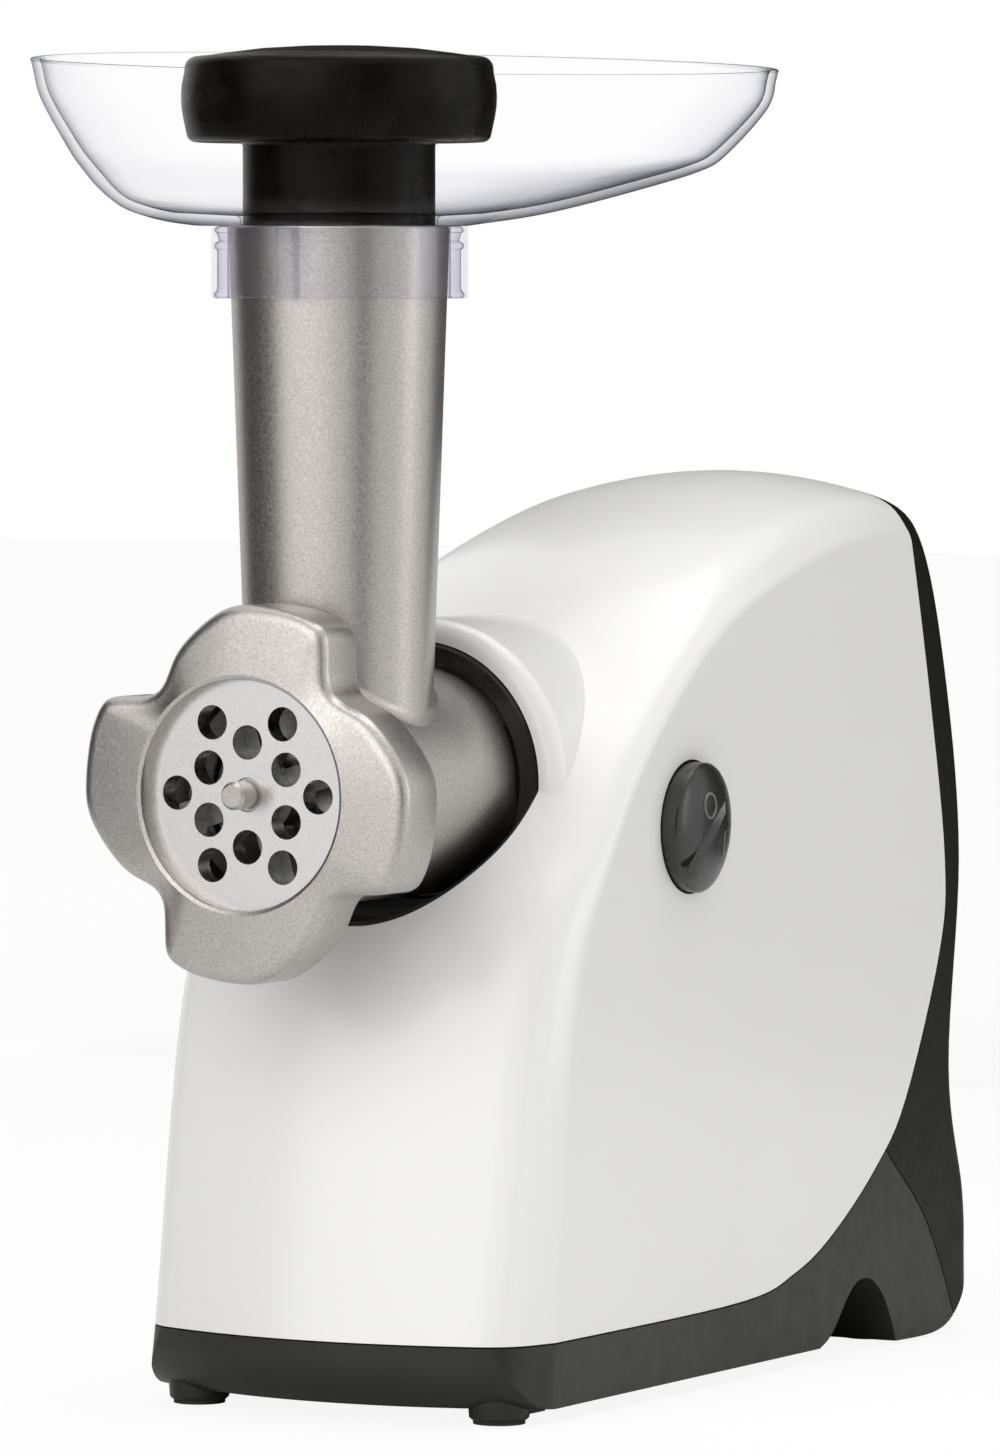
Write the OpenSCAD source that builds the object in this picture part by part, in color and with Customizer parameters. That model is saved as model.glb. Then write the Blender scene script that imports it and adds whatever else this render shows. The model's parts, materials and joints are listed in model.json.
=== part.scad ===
// Compact electric meat grinder: white housing on a dark base, cast grinding head with a
// clear tray, and the motor, gear train and switch inside.
// Frame: +Z up, the screw lies along Y with the cutter plate at -Y, X across the machine,
// origin on the ground under the middle of the overall box.

/* [Body] */
// Width across the side panels at the front feet
body_w = 104; // [100:1:112]
// Front feet to the rear edge, half way up
body_l = 226; // [220:1:240]
// Height of the top of the side edge
body_h = 206; // [202:1:220]
// Inward lean of each side panel towards the rear, degrees
side_taper = 2.4; // [1.8:0.1:2.8]
// Wall of the housing, the rear cover and the base
wall = 2.5; // [2:0.1:3]
// Open seam between the housing, the rear cover and the base
seam_gap = 0.4; // [0.3:0.05:0.6]
// Height of the base's underside above the ground
base_lift = 3.3; // [2.5:0.1:5]

/* [Feet] */
// Diameter of a front foot
foot_d = 14; // [12:0.5:16]
// Distance between the two front feet
foot_track = 80.5; // [76:0.5:84]
// Rubber pad showing under each foot
pad_show = 1; // [0.6:0.1:2]

/* [Grinding head] */
// Height of the screw's axis above the ground
axis_z = 144; // [142:0.5:146]
// Outer radius of the barrel
barrel_r = 26.5; // [26:0.1:27]
// Wall of the barrel
barrel_wall = 3; // [2.6:0.1:3.4]
// Outer radius of the barrel's threaded mouth
mouth_r = 29.3; // [29:0.1:30]
// Cutter plate diameter
plate_d = 54; // [52:0.5:54.5]
// Cutter plate thickness
plate_t = 5; // [4.5:0.1:6]
// Diameter of the plate's holes
hole_d = 7.8; // [6:0.1:8]
// Front of the cutter plate, ahead of the front feet
plate_front = 43.3; // [42:0.1:45]
// Depth of the cross knife
knife_t = 7; // [6:0.1:8]
// Width of a knife blade where it meets the plate
blade_w = 7; // [6:0.1:8]
// Height of the feed tube's rim above the ground
tube_top = 272; // [265:1:280]
// Outer radius of the feed tube at its rim
tube_r = 25.2; // [25:0.1:25.4]
// Taper of the feed tube on each side, degrees
tube_taper = 2; // [1.6:0.1:2.2]
// Wall of the feed tube
tube_wall = 3; // [2.6:0.1:3.2]
// Feed tube's axis, ahead of the front feet
tube_ahead = 3.5; // [2:0.5:5]

/* [Ring nut] */
// Radius over the ring nut's lobes
lobe_r = 43.3; // [42:0.1:45]
// Length of the ring nut
nut_l = 17; // [16:0.5:18]
// Depth of the ring nut's front lip
lip_t = 3.9; // [3.5:0.1:4.5]
// Diameter of the opening in the front lip
lip_d = 52; // [50:0.5:52.5]

/* [Screw] */
// Radius of the screw's flight
flight_r = 22.9; // [22:0.1:23.1]
// Radius of the screw's core
core_r = 10; // [9:0.5:11]
// Pitch of the flight
pitch = 26; // [22:1:30]
// Radius of the screw's front pin where it shows
pin_r = 3.2; // [3:0.1:3.5]

/* [Tray and pusher] */
// Tray length, front to rear
tray_l = 254; // [244:1:262]
// Tray width
tray_w = 133; // [124:1:140]
// Tray depth, floor to rim
tray_h = 37.5; // [34:0.5:42]
// Tray's middle behind the feed tube's axis
tray_shift = 32; // [28:1:36]
// Tray sheet thickness
tray_t = 2.2; // [1.8:0.1:2.6]
// Height of the collar below the tray
collar_h = 16.5; // [14:0.5:18]
// Outer radius of the collar
collar_r = 28.3; // [28:0.1:29]
// Diameter of the pusher's head
pusher_d = 72; // [66:1:76]
// Height of the pusher's head without its dome
pusher_h = 19.5; // [17:0.5:22]
// Stem showing between the tray floor and the head
pusher_show = 19; // [16:0.5:22]

/* [Socket] */
// Outer radius of the socket sleeve
sleeve_r = 32; // [31.5:0.1:32.5]
// Length of the socket sleeve
sleeve_l = 42.4; // [42:0.1:44]
// Front of the sleeve, behind the front feet
sleeve_y = 31.6; // [31:0.1:32]
// Radius of the housing's boss around the sleeve
boss_r = 37.5; // [37:0.1:38]
// Turn of the head from locked to released, degrees
bayonet_turn = 35; // [25:1:40]

/* [Gear train] */
// Teeth on every pinion
pinion_teeth = 12; // [12:1:13]
// Teeth on the first, second and last wheel
wheel_teeth = [60, 48, 48];
// Module of the first, second and last stage
stage_module = [0.8, 1, 1.25];
// Face width of the first, second and last stage
face_w = [6, 8, 12];
// Sideways place of the first and second wheel
wheel_x = [-8, 10];
// Tooth thinning for backlash
backlash = 0.12; // [0.1:0.01:0.2]
// Pressure angle of the teeth
pressure_angle = 25; // [24:0.5:26]

/* [Motor] */
// Stator width
stator_w = 76; // [72:1:78]
// Stator height
stator_h = 62; // [60:1:64]
// Room between the end of the motor shaft and the rear edge
rear_room = 14; // [12:1:18]
// Armature radius
armature_r = 19.5; // [19:0.1:20]
// Gap between the armature and the stator
air_gap = 0.7; // [0.5:0.1:1]
// Motor shaft radius
motor_shaft_r = 4; // [3.9:0.1:4.2]
// Outer radius of a motor bearing
bearing_r = 11; // [10.5:0.1:11.5]
// Width of a motor bearing
bearing_w = 7; // [6:0.5:8]

/* [Button] */
// Radius of the rocker button
button_r = 15.2; // [14:0.1:16]
// How far the button's face stands out of the panel
button_face = 4.7; // [4:0.1:5.5]
// How far the ridge across the face stands out of the panel
button_out = 6.1; // [5.6:0.1:6.6]
// Height of the button's centre above the ground
button_z = 132.7; // [130:0.5:135]
// Button's centre behind the front feet
button_y = 73; // [71:0.5:75]
// Tilt of the rocker to each side, degrees
rocker_tilt = 5; // [4:0.5:6]
// Lean of the rocker's ridge from level, degrees
ridge_lean = 42; // [36:1:60]

/* [Fits] */
// Radial clearance of a running fit
run_fit = 0.06; // [0.03:0.01:0.08]
// Clearance of a loose or seated part
seat_fit = 0.25; // [0.2:0.05:0.3]
// Radial clearance of a pin in its seat
pin_fit = 0.02; // [0.01:0.01:0.03]

/* [Hidden] */
$fn = 48;

white = [0.93, 0.93, 0.91];
dark = [0.2, 0.2, 0.19];
black = [0.08, 0.08, 0.08];
cast = [0.66, 0.64, 0.62];
steel = [0.78, 0.78, 0.8];
brass = [0.72, 0.6, 0.32];
copper = [0.72, 0.4, 0.24];
nylon = [0.86, 0.84, 0.76];
clear = [0.82, 0.82, 0.9, 0.4];
eps = 0.01;
past = 1;
wide = 200;
// Height at which the body form ends, below the ground
form_low = -9;

// Side form, from the front of the ground up over the top and down the rear. Each row is
// a point of the soft edge in percent of body_l and body_h, how far that edge lies inside
// the side panel, how far the middle bulges past it, and the width of the band behind it.
form = [
    [-6, -3, 4, 11, 14], [-4, 9, 4, 11, 14], [2.4, 47, 3, 10, 10], [12.2, 63, 3, 9, 5.5],
    [23.5, 76.7, 4, 8, 4.5], [40.5, 89.8, 5, 7.5, 5.5], [64.5, 98.5, 5, 7, 7.5],
    [82.5, 100, 4, 6.5, 8], [90.5, 95, 4, 5, 7], [96.5, 77.5, 3, 4, 6], [100, 57, 3, 4, 6],
    [97.5, 32, 3, 4, 6], [101, 17, 3, 4, 6], [101.5, 8, 3, 4, 6], [101.5, -3, 3, 4, 6]
];
// Seam between the white housing and the dark parts, in percent of body_l and body_h
seam = [
    [-30, 9.2], [10, 8.8], [45, 9], [57, 11], [66, 14.6], [76.5, 21.4], [84, 29], [92.5, 46],
    [93.8, 57], [90.7, 76], [86.7, 94.7], [82.7, 100.5], [80, 112]
];
// Seam between the base and the rear cover
split = [[74, 30], [79, 23.5], [88, 15.5], [94, 6.5], [99, -4]];
// Underside behind the flat stretch: side arch, heel and the turn up to the rear
arch = [[63, 0], [66, 1.5], [71, 6.4], [75, 7], [78.5, 4.6], [81, 0.6]];
heel = [[81.6, 0], [91, 0], [96, 1.5], [99.5, 5.5], [101.5, 12]];
// Tray rings from the floor to the rim: share of the depth, of the shift, length and width
bowl = [
    [0, -0.3, 0.36, 0.45], [0.03, -0.28, 0.4, 0.48], [0.11, -0.08, 0.54, 0.58], [0.22, 0.3, 0.69, 0.7],
    [0.35, 0.72, 0.82, 0.82], [0.46, 0.85, 0.88, 0.88], [0.75, 1, 0.972, 0.972], [0.93, 1, 0.985, 0.985],
    [1, 1, 1, 1]
];
// One lobe of the ring nut: degrees past its tip, and share of the lobe radius
lobe = [
    [1.5, 1], [12, 1], [30, 0.99], [41, 0.947], [57, 0.855], [69, 0.757], [76, 0.757],
    [83, 0.87], [88, 0.985]
];
lobe_tip = 62;
lobes = 4;

// Places along the screw, measured from the front feet, rearwards
plate_y = -plate_front;
nut_y = plate_y - lip_t;
knife_y = plate_y + plate_t + 0.05;
screw_y = knife_y + knife_t + 0.2;
mouth_y = plate_y + 0.5;
mouth_l = nut_l - lip_t + 1.8;
bore_r = barrel_r - barrel_wall;
shoulder_y = screw_y + 0.4;
flight_end = sleeve_y + 3;
web_y = flight_end + 1;
web_t = 5;
tail_y = web_y + web_t + 1;
tail_l = 15;
tail_r = 13;
square_in = 12;
square_out = 10;
lug_y = sleeve_y + 14.4;
lug_t = 5;
lug_r = barrel_r + 3;
lug_span = 36;
lug_start = 24;
blade_turn = 73;
knife_square = 9;
spigot_end = tail_y + tail_l + 4;
boss_round = 3.6;
base_round = 11;
pin_reach = 6.8;
journal_r = 8.5;
shaft_r = 7;
bush_r = 10;
plate_r = plate_d / 2;
pitch_circle = [18.6, 11.8];
tube_y = -tube_ahead;
tube_bore = tube_r - tube_wall;
tube_slope = tan(tube_taper);
tube_fall = (tube_top - axis_z) * tube_slope;
collar_z = tube_top - collar_h;

// Places in the gearbox
gearbox_y = sleeve_y + sleeve_l;
gearbox_wall = 3.5;
gear_gap = 1.5;
last_y = gearbox_y + gearbox_wall + 1;
mid_y = last_y + face_w[2] + gear_gap;
fast_y = mid_y + face_w[1] + gear_gap;
cover_y = fast_y + face_w[0] + gear_gap;
cover_t = 4;
cover_end = cover_y + cover_t;
centre_1 = stage_module[0] * (pinion_teeth + wheel_teeth[0]) / 2;
centre_2 = stage_module[1] * (pinion_teeth + wheel_teeth[1]) / 2;
centre_3 = stage_module[2] * (pinion_teeth + wheel_teeth[2]) / 2;
out_at = [0, axis_z];
g2_at = [wheel_x[1], axis_z - sqrt(pow(centre_3, 2) - pow(wheel_x[1], 2))];
g1_at = [wheel_x[0], g2_at[1] - sqrt(pow(centre_2, 2) - pow(g2_at[0] - wheel_x[0], 2))];
motor_at = [0, g1_at[1] - sqrt(pow(centre_1, 2) - pow(g1_at[0], 2))];
addendum = 0.8;
dedendum = 1.05;
gear_pin_r = 3;
tip_0 = stage_module[0] * (pinion_teeth / 2 + addendum);
tip_1 = stage_module[0] * (wheel_teeth[0] / 2 + addendum);
tip_2 = stage_module[1] * (wheel_teeth[1] / 2 + addendum);
tip_3 = stage_module[2] * (wheel_teeth[2] / 2 + addendum);
case_gap = 1;
case_wall = 2.5;

// Places along the motor
fan_y = cover_end + bearing_w + 1;
fan_l = 9;
fan_r = 26;
coil_end = 8;
stack_y = fan_y + fan_l + coil_end + 1;
shaft_end = body_l - rear_room;
bracket_y = shaft_end - bearing_w - 1;
bracket_t = 4;
commutator_l = 15;
commutator_r = 11;
commutator_y = bracket_y - commutator_l - 2;
stack_end = commutator_y - coil_end - 2;
stack_l = stack_end - stack_y;
bolt_at = [stator_w / 2 - 6, stator_h / 2 - 6];
bolt_r = 2;
brush = [5, 8];

// Places on the side panel and behind it
panel_gap = 0.5;
switch_t = 6.5;
switch_depth = 3.5;

// Head release, left of the socket
release_angle = 215;
release_radius = 46;
release_r = 7;
release_y = 13;
release_l = 12;
release_stem_r = 3.5;
latch_radius = 28.6;
latch_r = 1.2;
arm_y = lug_y + lug_t + 6;
arm_t = 4;

// Cord outlet
gland_z = 52;
gland_y = body_l - 6;
gland_l = 12;
gland_r = 7;
cord_r = 3.6;

// Rows of the base
screw_at = [[39, 14], [38, 98]];
post_z = seam[2][1] * body_h / 100 + seam_gap;
pad_r = foot_d / 2 - 1;
rear_pad = [30, 197];
pad_t = 2.4;

half_track = foot_track / 2;
front_reach = tray_l / 2 - tray_shift + tube_ahead;
rear_reach = form[13][0] * body_l / 100 + form[13][3];
frame_y = (front_reach - rear_reach) / 2;

function panel_x(y) = body_w / 2 - tan(side_taper) * y;
function at(rows, i) = rows[max(0, min(len(rows) - 1, i))];
function spline(p, q, r, s, t) =
    (2 * q + (r - p) * t + (2 * p - 5 * q + 4 * r - s) * t * t + (3 * q - p - 3 * r + s) * t * t * t) / 2;
function smooth(rows, n) = [
    for (i = [0 : len(rows) - 2]) for (k = [0 : n - 1])
        spline(at(rows, i - 1), rows[i], rows[i + 1], at(rows, i + 2), k / n),
    rows[len(rows) - 1]
];
function sized(rows) = [for (r = rows) [r[0] * body_l / 100, r[1] * body_h / 100]];
function normal(rows, i) = let (t = at(rows, i + 1) - at(rows, i - 1)) [-t[1], t[0]] / norm([t[0], t[1]]);
function shifted(rows, d) = [for (i = [0 : len(rows) - 1]) rows[i] + d * normal(rows, i)];
function polar(r, a) = [r * cos(a), r * sin(a)];
function bend(a, b, c, t) = (1 - t) * (1 - t) * a + 2 * t * (1 - t) * b + t * t * c;

// Moves a piece from the front-feet line to the part's frame
module placed() translate([0, frame_y, 0]) children();
// Turns a piece drawn along Z to lie along Y at a height, its local x across the machine
module along_y(y, at_xz = [0, axis_z]) translate([at_xz[0], y, at_xz[1]]) rotate([-90, 0, 0]) children();
// Turns a piece drawn along Z to point out of the right side panel
module on_panel(y, z) translate([panel_x(y), y, z]) rotate([0, 0, side_taper]) rotate([0, 90, 0]) children();
// Extrudes a side view across the whole width
module across(w = wide) rotate([90, 0, 90]) linear_extrude(w, center = true) children();
module ring(r_out, r_in, h) difference() {
    cylinder(r = r_out, h = h);
    translate([0, 0, -past]) cylinder(r = r_in, h = h + 2 * past);
}
module ring_2d(r_out, r_in) difference() {
    circle(r_out);
    circle(r_in);
}
module sector_2d(r_out, r_in, from, to) intersection() {
    ring_2d(r_out, r_in);
    polygon([[0, 0], for (a = [from : (to - from) / 4 : to]) polar(2 * r_out, a)]);
}
module rounded_2d(w, h, r) union() {
    square([w - 2 * r, h], center = true);
    square([w, h - 2 * r], center = true);
    for (x = [-1, 1]) for (y = [-1, 1]) translate([x * (w / 2 - r), y * (h / 2 - r)]) circle(r);
}

// ---- Body form -----------------------------------------------------------------------

// Half of one rib of the body form: middle, bulge, soft edge, band and crease
function rib(rows, i, inset) = let (
    r = rows[i],
    n = normal([for (q = rows) [q[0] * body_l, q[1] * body_h]], i),
    s = [r[0] * body_l, r[1] * body_h] / 100 - n * inset,
    k = s - n * r[4],
    xs = panel_x(s[0]) - inset - r[2],
    xk = panel_x(k[0]) - inset,
    soft = [xs, s[0], s[1]],
    crease = [xk, k[0], k[1]],
    bulge = function (u) let (p = s + n * r[3] * (1 - u * u)) [xs * u, p[0], p[1]],
    band = soft + (crease - soft) * 0.45
) [
    for (u = [0, 0.35, 0.65, 0.85]) bulge(u),
    for (t = [0.35, 0.7, 1]) bend(bulge(0.85), soft, band, t),
    crease
];
function whole_rib(half) = concat(
    [for (i = [len(half) - 1 : -1 : 0]) half[i]],
    [for (i = [1 : len(half) - 1]) [-half[i][0], half[i][1], half[i][2]]]
);
module body_form(inset, steps) {
    rows = smooth(form, steps);
    n = len(rows);
    low = form_low - inset;
    ribs = [for (i = [0 : n - 1]) let (r = whole_rib(rib(rows, i, inset)))
        i > 0 && i < n - 1 ? r : [for (q = r) [q[0], q[1], low]]];
    m = len(ribs[0]);
    mid = [body_l / 2, body_h / 2];
    xm = panel_x(mid[0]) - inset;
    // The sides and the underside are fans of triangles round a point of their own
    right = n * m;
    left = right + 1;
    under = right + 2;
    polyhedron(
        points = concat([for (r = ribs) each r],
            [[xm, mid[0], mid[1]], [-xm, mid[0], mid[1]], [0, mid[0], low]]),
        faces = [
            for (i = [0 : n - 2]) for (j = [0 : m - 2]) let (a = i * m + j, b = a + m)
                each [[a, a + 1, b], [a + 1, b + 1, b]],
            for (i = [0 : n - 1]) let (q = (i + 1) % n)
                each [[right, i * m, q * m], [left, q * m + m - 1, i * m + m - 1]],
            for (j = [0 : m - 2])
                each [[under, (n - 1) * m + j, (n - 1) * m + j + 1], [under, j + 1, j]],
            [under, 0, (n - 1) * m],
            [under, n * m - 1, m - 1]
        ]
    );
}
module form_shell() difference() {
    body_form(0, 3);
    body_form(wall, 2);
}
// The form as a shell that is closed by a floor along the underside
module dark_form() difference() {
    body_form(0, 3);
    intersection() {
        body_form(wall, 2);
        across() above_underside(wall);
        turned_under(wall);
    }
}
seam_line = smooth(sized(seam), 3);
split_line = smooth(sized(split), 2);
module white_side() {
    line = shifted(seam_line, seam_gap / 2);
    last = line[len(line) - 1];
    polygon(concat(line, [[line[0][0], last[1]]]));
}
module dark_side() {
    line = shifted(seam_line, -seam_gap / 2);
    last = line[len(line) - 1];
    polygon(concat(line, [[wide * 2, last[1]], [wide * 2, -wide], [line[0][0], -wide]]));
}
module rear_side() {
    line = shifted(split_line, seam_gap / 2);
    polygon(concat(line, [[wide * 2, -wide], [wide * 2, wide * 2], [line[0][0], wide * 2]]));
}
module base_side() {
    line = shifted(split_line, -seam_gap / 2);
    polygon(concat(line, [[line[len(line) - 1][0], -wide], [-wide, -wide], [-wide, line[0][1]]]));
}
// Line of the base's underside, front to rear
underside = concat(
    [[-wide, base_lift]],
    [for (p = smooth(sized(arch), 2)) [p[0], max(p[1], 0) + base_lift]],
    [for (p = smooth(sized(heel), 3)) [p[0], p[1] + pad_show]]
);
module above_underside(lift) {
    line = shifted(underside, lift);
    polygon(concat(line, [[wide * 2, line[len(line) - 1][1]], [wide * 2, wide * 2], [-wide, wide * 2]]));
}

// ---- Casings ---------------------------------------------------------------------------

module housing_shell() color(white) placed() difference() {
    union() {
        intersection() {
            form_shell();
            across() white_side();
        }
        socket_boss();
        intersection() {
            body_form(wall / 2, 2);
            on_panel(button_y, button_z) translate([0, 0, -wall - switch_depth])
                ring(button_r + panel_gap + 2, button_r + panel_gap, wall / 2 + switch_depth);
        }
        for (s = [-1, 1]) for (p = screw_at) screw_post(s * p[0], p[1]);
    }
    along_y(-wide / 2) cylinder(r = sleeve_r + seat_fit, h = wide / 2 + sleeve_y + sleeve_l - 8);
    along_y(sleeve_y + sleeve_l - 8 - eps) cylinder(r = sleeve_r + 4 + seat_fit, h = 8 + past);
    on_panel(button_y, button_z) translate([0, 0, -wall - past])
        cylinder(r = button_r + panel_gap, h = 2 * wall + past);
    at_release(0) cylinder(r = release_r + seat_fit, h = 30);
    at_release(sleeve_y + 18) translate([-24, -7, 0]) cube([30, 14, sleeve_l]);
}
// Boss round the sleeve: full length above, shorter beside the switch
module socket_boss() {
    short = 20;
    corner = [boss_r - boss_round, boss_round];
    along_y(sleeve_y) cylinder(r = sleeve_r + 2.5, h = sleeve_l - 8);
    difference() {
        along_y(sleeve_y) rotate_extrude() polygon([
            [0, 0], [corner[0], 0], for (a = [-72 : 18 : -18]) corner + polar(boss_round, a),
            [boss_r, boss_round], [boss_r, sleeve_l], [0, sleeve_l]
        ]);
        translate([-wide / 2, sleeve_y + short, axis_z + 8 - wide]) cube(wide);
    }
}
// Post that takes a base screw, with a rib to the side panel
module screw_post(x, y) {
    rise = 26;
    difference() {
        union() {
            translate([x, y, post_z]) cylinder(r = 4.5, h = rise);
            intersection() {
                body_form(wall / 2, 2);
                translate([x > 0 ? x : -wide / 2, y - 1, post_z]) cube([wide / 2 - abs(x), 2, rise]);
            }
        }
        translate([x, y, post_z - past]) cylinder(r = 1.6, h = rise);
    }
}

module rear_cover() color(dark) placed() difference() {
    intersection() {
        dark_form();
        across() intersection() {
            dark_side();
            rear_side();
            above_underside(0);
        }
    }
    for (i = [0 : 7]) translate([-24, body_l * 0.85, 92 + i * 7]) cube([48, wide, 2.6]);
    along_y(body_l - 30, [0, gland_z]) cylinder(r = gland_r + seat_fit, h = 60);
}

module base_tray() color(dark) placed() difference() {
    union() {
        intersection() {
            dark_form();
            across() intersection() {
                dark_side();
                base_side();
                above_underside(0);
            }
            turned_under();
        }
        for (s = [-1, 1]) {
            translate([s * half_track, 0, pad_show]) cylinder(d = foot_d, h = 11);
            translate([s * half_track - 4, 0, pad_show + 0.6]) cube([8, 14, 6]);
            for (p = screw_at) translate([s * p[0], p[1], base_lift])
                cylinder(r = 5.5, h = post_z - seat_fit - base_lift);
            translate([s * rear_pad[0], rear_pad[1], pad_show]) cylinder(r = pad_r + 2, h = 5);
        }
        intersection() {
            union() {
                cradle(stack_y + 6, motor_at[1] - stator_h / 2 - seat_fit);
                cradle(stack_end - 6, motor_at[1] - stator_h / 2 - seat_fit);
                cradle(gearbox_y + 8, motor_at[1] - tip_0 - case_gap - case_wall - seat_fit);
            }
            across() above_underside(wall / 2);
        }
    }
    for (s = [-1, 1]) {
        translate([s * half_track, 0, -past]) cylinder(r = pad_r + pin_fit, h = pad_t + past);
        translate([s * rear_pad[0], rear_pad[1], -past]) cylinder(r = pad_r + pin_fit, h = pad_t + past);
        for (p = screw_at) translate([s * p[0], p[1], 0]) {
            cylinder(r = 1.9, h = 40);
            cylinder(r = 3.6, h = base_lift + 3);
        }
    }
    for (i = [0 : 6]) translate([-22, 78 + i * 7, 0]) cube([44, 3, base_lift + wall + past]);
}
// Room inside the base's rounded lower front edge, which follows the bulged front
module turned_under(inset = 0) {
    sagitta = form[1][3];
    half = panel_x(0) - form[1][2];
    r = (half * half + sagitta * sagitta) / (2 * sagitta);
    front = form[1][0] * body_l / 100 - sagitta;
    edge = base_round - inset;
    low = base_lift + inset * 0.8 + edge;
    union() {
        translate([0, front + r, 0]) rotate_extrude() union() {
            square([r - base_round, wide * 2]);
            translate([0, low]) square([r - inset, wide * 2 - low]);
            translate([r - base_round, low]) circle(edge);
        }
        translate([-wide / 2, body_l / 4, -past]) cube([wide, wide, wide * 2]);
    }
}
// Rib across the base that carries the motor or the gearbox
module cradle(y, top) translate([-20, y - 1.5, 0]) cube([40, 3, top]);

module rubber_feet() color(black) placed() for (s = [-1, 1]) {
    translate([s * half_track, 0, 0]) cylinder(r = pad_r, h = pad_t);
    translate([s * rear_pad[0], rear_pad[1], 0]) cylinder(r = pad_r, h = pad_t);
}

module base_screws() color(steel) placed() for (s = [-1, 1]) for (p = screw_at)
    translate([s * p[0], p[1], base_lift + 1]) {
        cylinder(r = 3.2, h = 2);
        cylinder(r = 1.5, h = 28);
    }

// ---- Socket and grinding head ------------------------------------------------------------

module socket_sleeve() color(black) placed() difference() {
    union() {
        along_y(sleeve_y) cylinder(r = sleeve_r, h = sleeve_l);
        along_y(gearbox_y - 4) cylinder(r = sleeve_r + 4, h = 4);
        at_release(gearbox_y - 4) union() {
            cylinder(r = 5.5, h = 4);
            translate([-14, -4, 0]) cube([14, 8, 4]);
        }
    }
    along_y(sleeve_y - past) cylinder(r = barrel_r + run_fit, h = sleeve_l + 2 * past);
    along_y(lug_y - seat_fit) cylinder(r = lug_r + seat_fit, h = lug_t + 2 * seat_fit);
    for (k = [0 : 2]) along_y(sleeve_y - past) rotate(lug_start + 120 * k - bayonet_turn)
        linear_extrude(lug_y - sleeve_y + past)
            sector_2d(lug_r + 2 * seat_fit, barrel_r - 2, -lug_span / 2 - 1, lug_span / 2 + 1);
    at_release(lug_y + lug_t) translate([-release_radius + barrel_r - 2, -2.4, 0])
        cube([sleeve_r - barrel_r + 6, 4.8, gearbox_y - 4 - lug_y - lug_t]);
}
// Local frame at the release button: z rearwards, x away from the screw's axis
module at_release(y) along_y(y) rotate(-release_angle) translate([release_radius, 0, 0]) children();

module head_casting() color(cast) placed() difference() {
    union() {
        along_y(mouth_y) cylinder(r = mouth_r, h = mouth_l);
        along_y(mouth_y + mouth_l - eps) cylinder(r = barrel_r, h = spigot_end - mouth_y - mouth_l + eps);
        translate([0, tube_y, axis_z]) cylinder(r1 = tube_r - tube_fall, r2 = tube_r, h = tube_top - axis_z);
        for (k = [0 : 2]) along_y(lug_y) rotate(lug_start + 120 * k) linear_extrude(lug_t)
            sector_2d(lug_r, barrel_r - 1, -lug_span / 2, lug_span / 2);
    }
    along_y(mouth_y - past) cylinder(r = plate_r + 0.15, h = shoulder_y - mouth_y + past);
    along_y(mouth_y) cylinder(r = bore_r, h = web_y - mouth_y);
    along_y(web_y - past) cylinder(r = journal_r + run_fit, h = web_t + 2 * past);
    along_y(web_y + web_t) cylinder(r = bore_r - 1, h = wide / 2);
    translate([0, tube_y, axis_z])
        cylinder(r1 = tube_bore - tube_fall, r2 = tube_bore, h = tube_top - axis_z + eps);
}

module cutter_plate() color(steel) placed() difference() {
    along_y(plate_y) cylinder(r = plate_r, h = plate_t);
    for (p = plate_holes()) along_y(plate_y - past, [p[0], axis_z + p[1]])
        cylinder(d = hole_d, h = plate_t + 2 * past);
}
function plate_holes() = concat(
    [[0, 0]],
    [for (k = [0 : 5]) polar(pitch_circle[0], 60 * k)],
    [for (k = [0 : 5]) polar(pitch_circle[1], 60 * k + 30)]
);

// Outline of the ring nut: four lobes, each a round crest that falls away to the next tip
function nut_outline(inset) = [
    for (k = [0 : lobes - 1]) for (p = smooth(lobe, 2))
        polar(p[1] * lobe_r - inset, -(lobe_tip + p[0] + 360 / lobes * k))
];
module ring_nut() color(cast) placed() {
    layers = [[0, 3], [0.5, 1.2], [1.4, 0.3], [3, 0], [nut_l - 2, 0], [nut_l - 0.6, 0.6], [nut_l, 2]];
    loops = [for (l = layers) [for (p = nut_outline(l[1])) [p[0], p[1], l[0]]]];
    m = len(loops[0]);
    n = len(loops);
    along_y(nut_y) difference() {
        polyhedron(
            points = concat([for (l = loops) each l], [[0, 0, 0], [0, 0, nut_l]]),
            faces = [
                for (i = [0 : n - 2]) for (j = [0 : m - 1]) let (a = i * m + j, b = i * m + (j + 1) % m)
                    each [[a, b, a + m], [b, b + m, a + m]],
                for (j = [0 : m - 1]) let (q = (j + 1) % m)
                    each [[n * m, q, j], [n * m + 1, (n - 1) * m + j, (n - 1) * m + q]]
            ]
        );
        rotate_extrude() polygon([
            [0, -past], [lip_d / 2 + 1.2 + past, -past], [lip_d / 2, 1.2], [lip_d / 2, lip_t],
            [mouth_r + run_fit, lip_t], [mouth_r + run_fit, nut_l + past], [0, nut_l + past]
        ]);
    }
}

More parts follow.
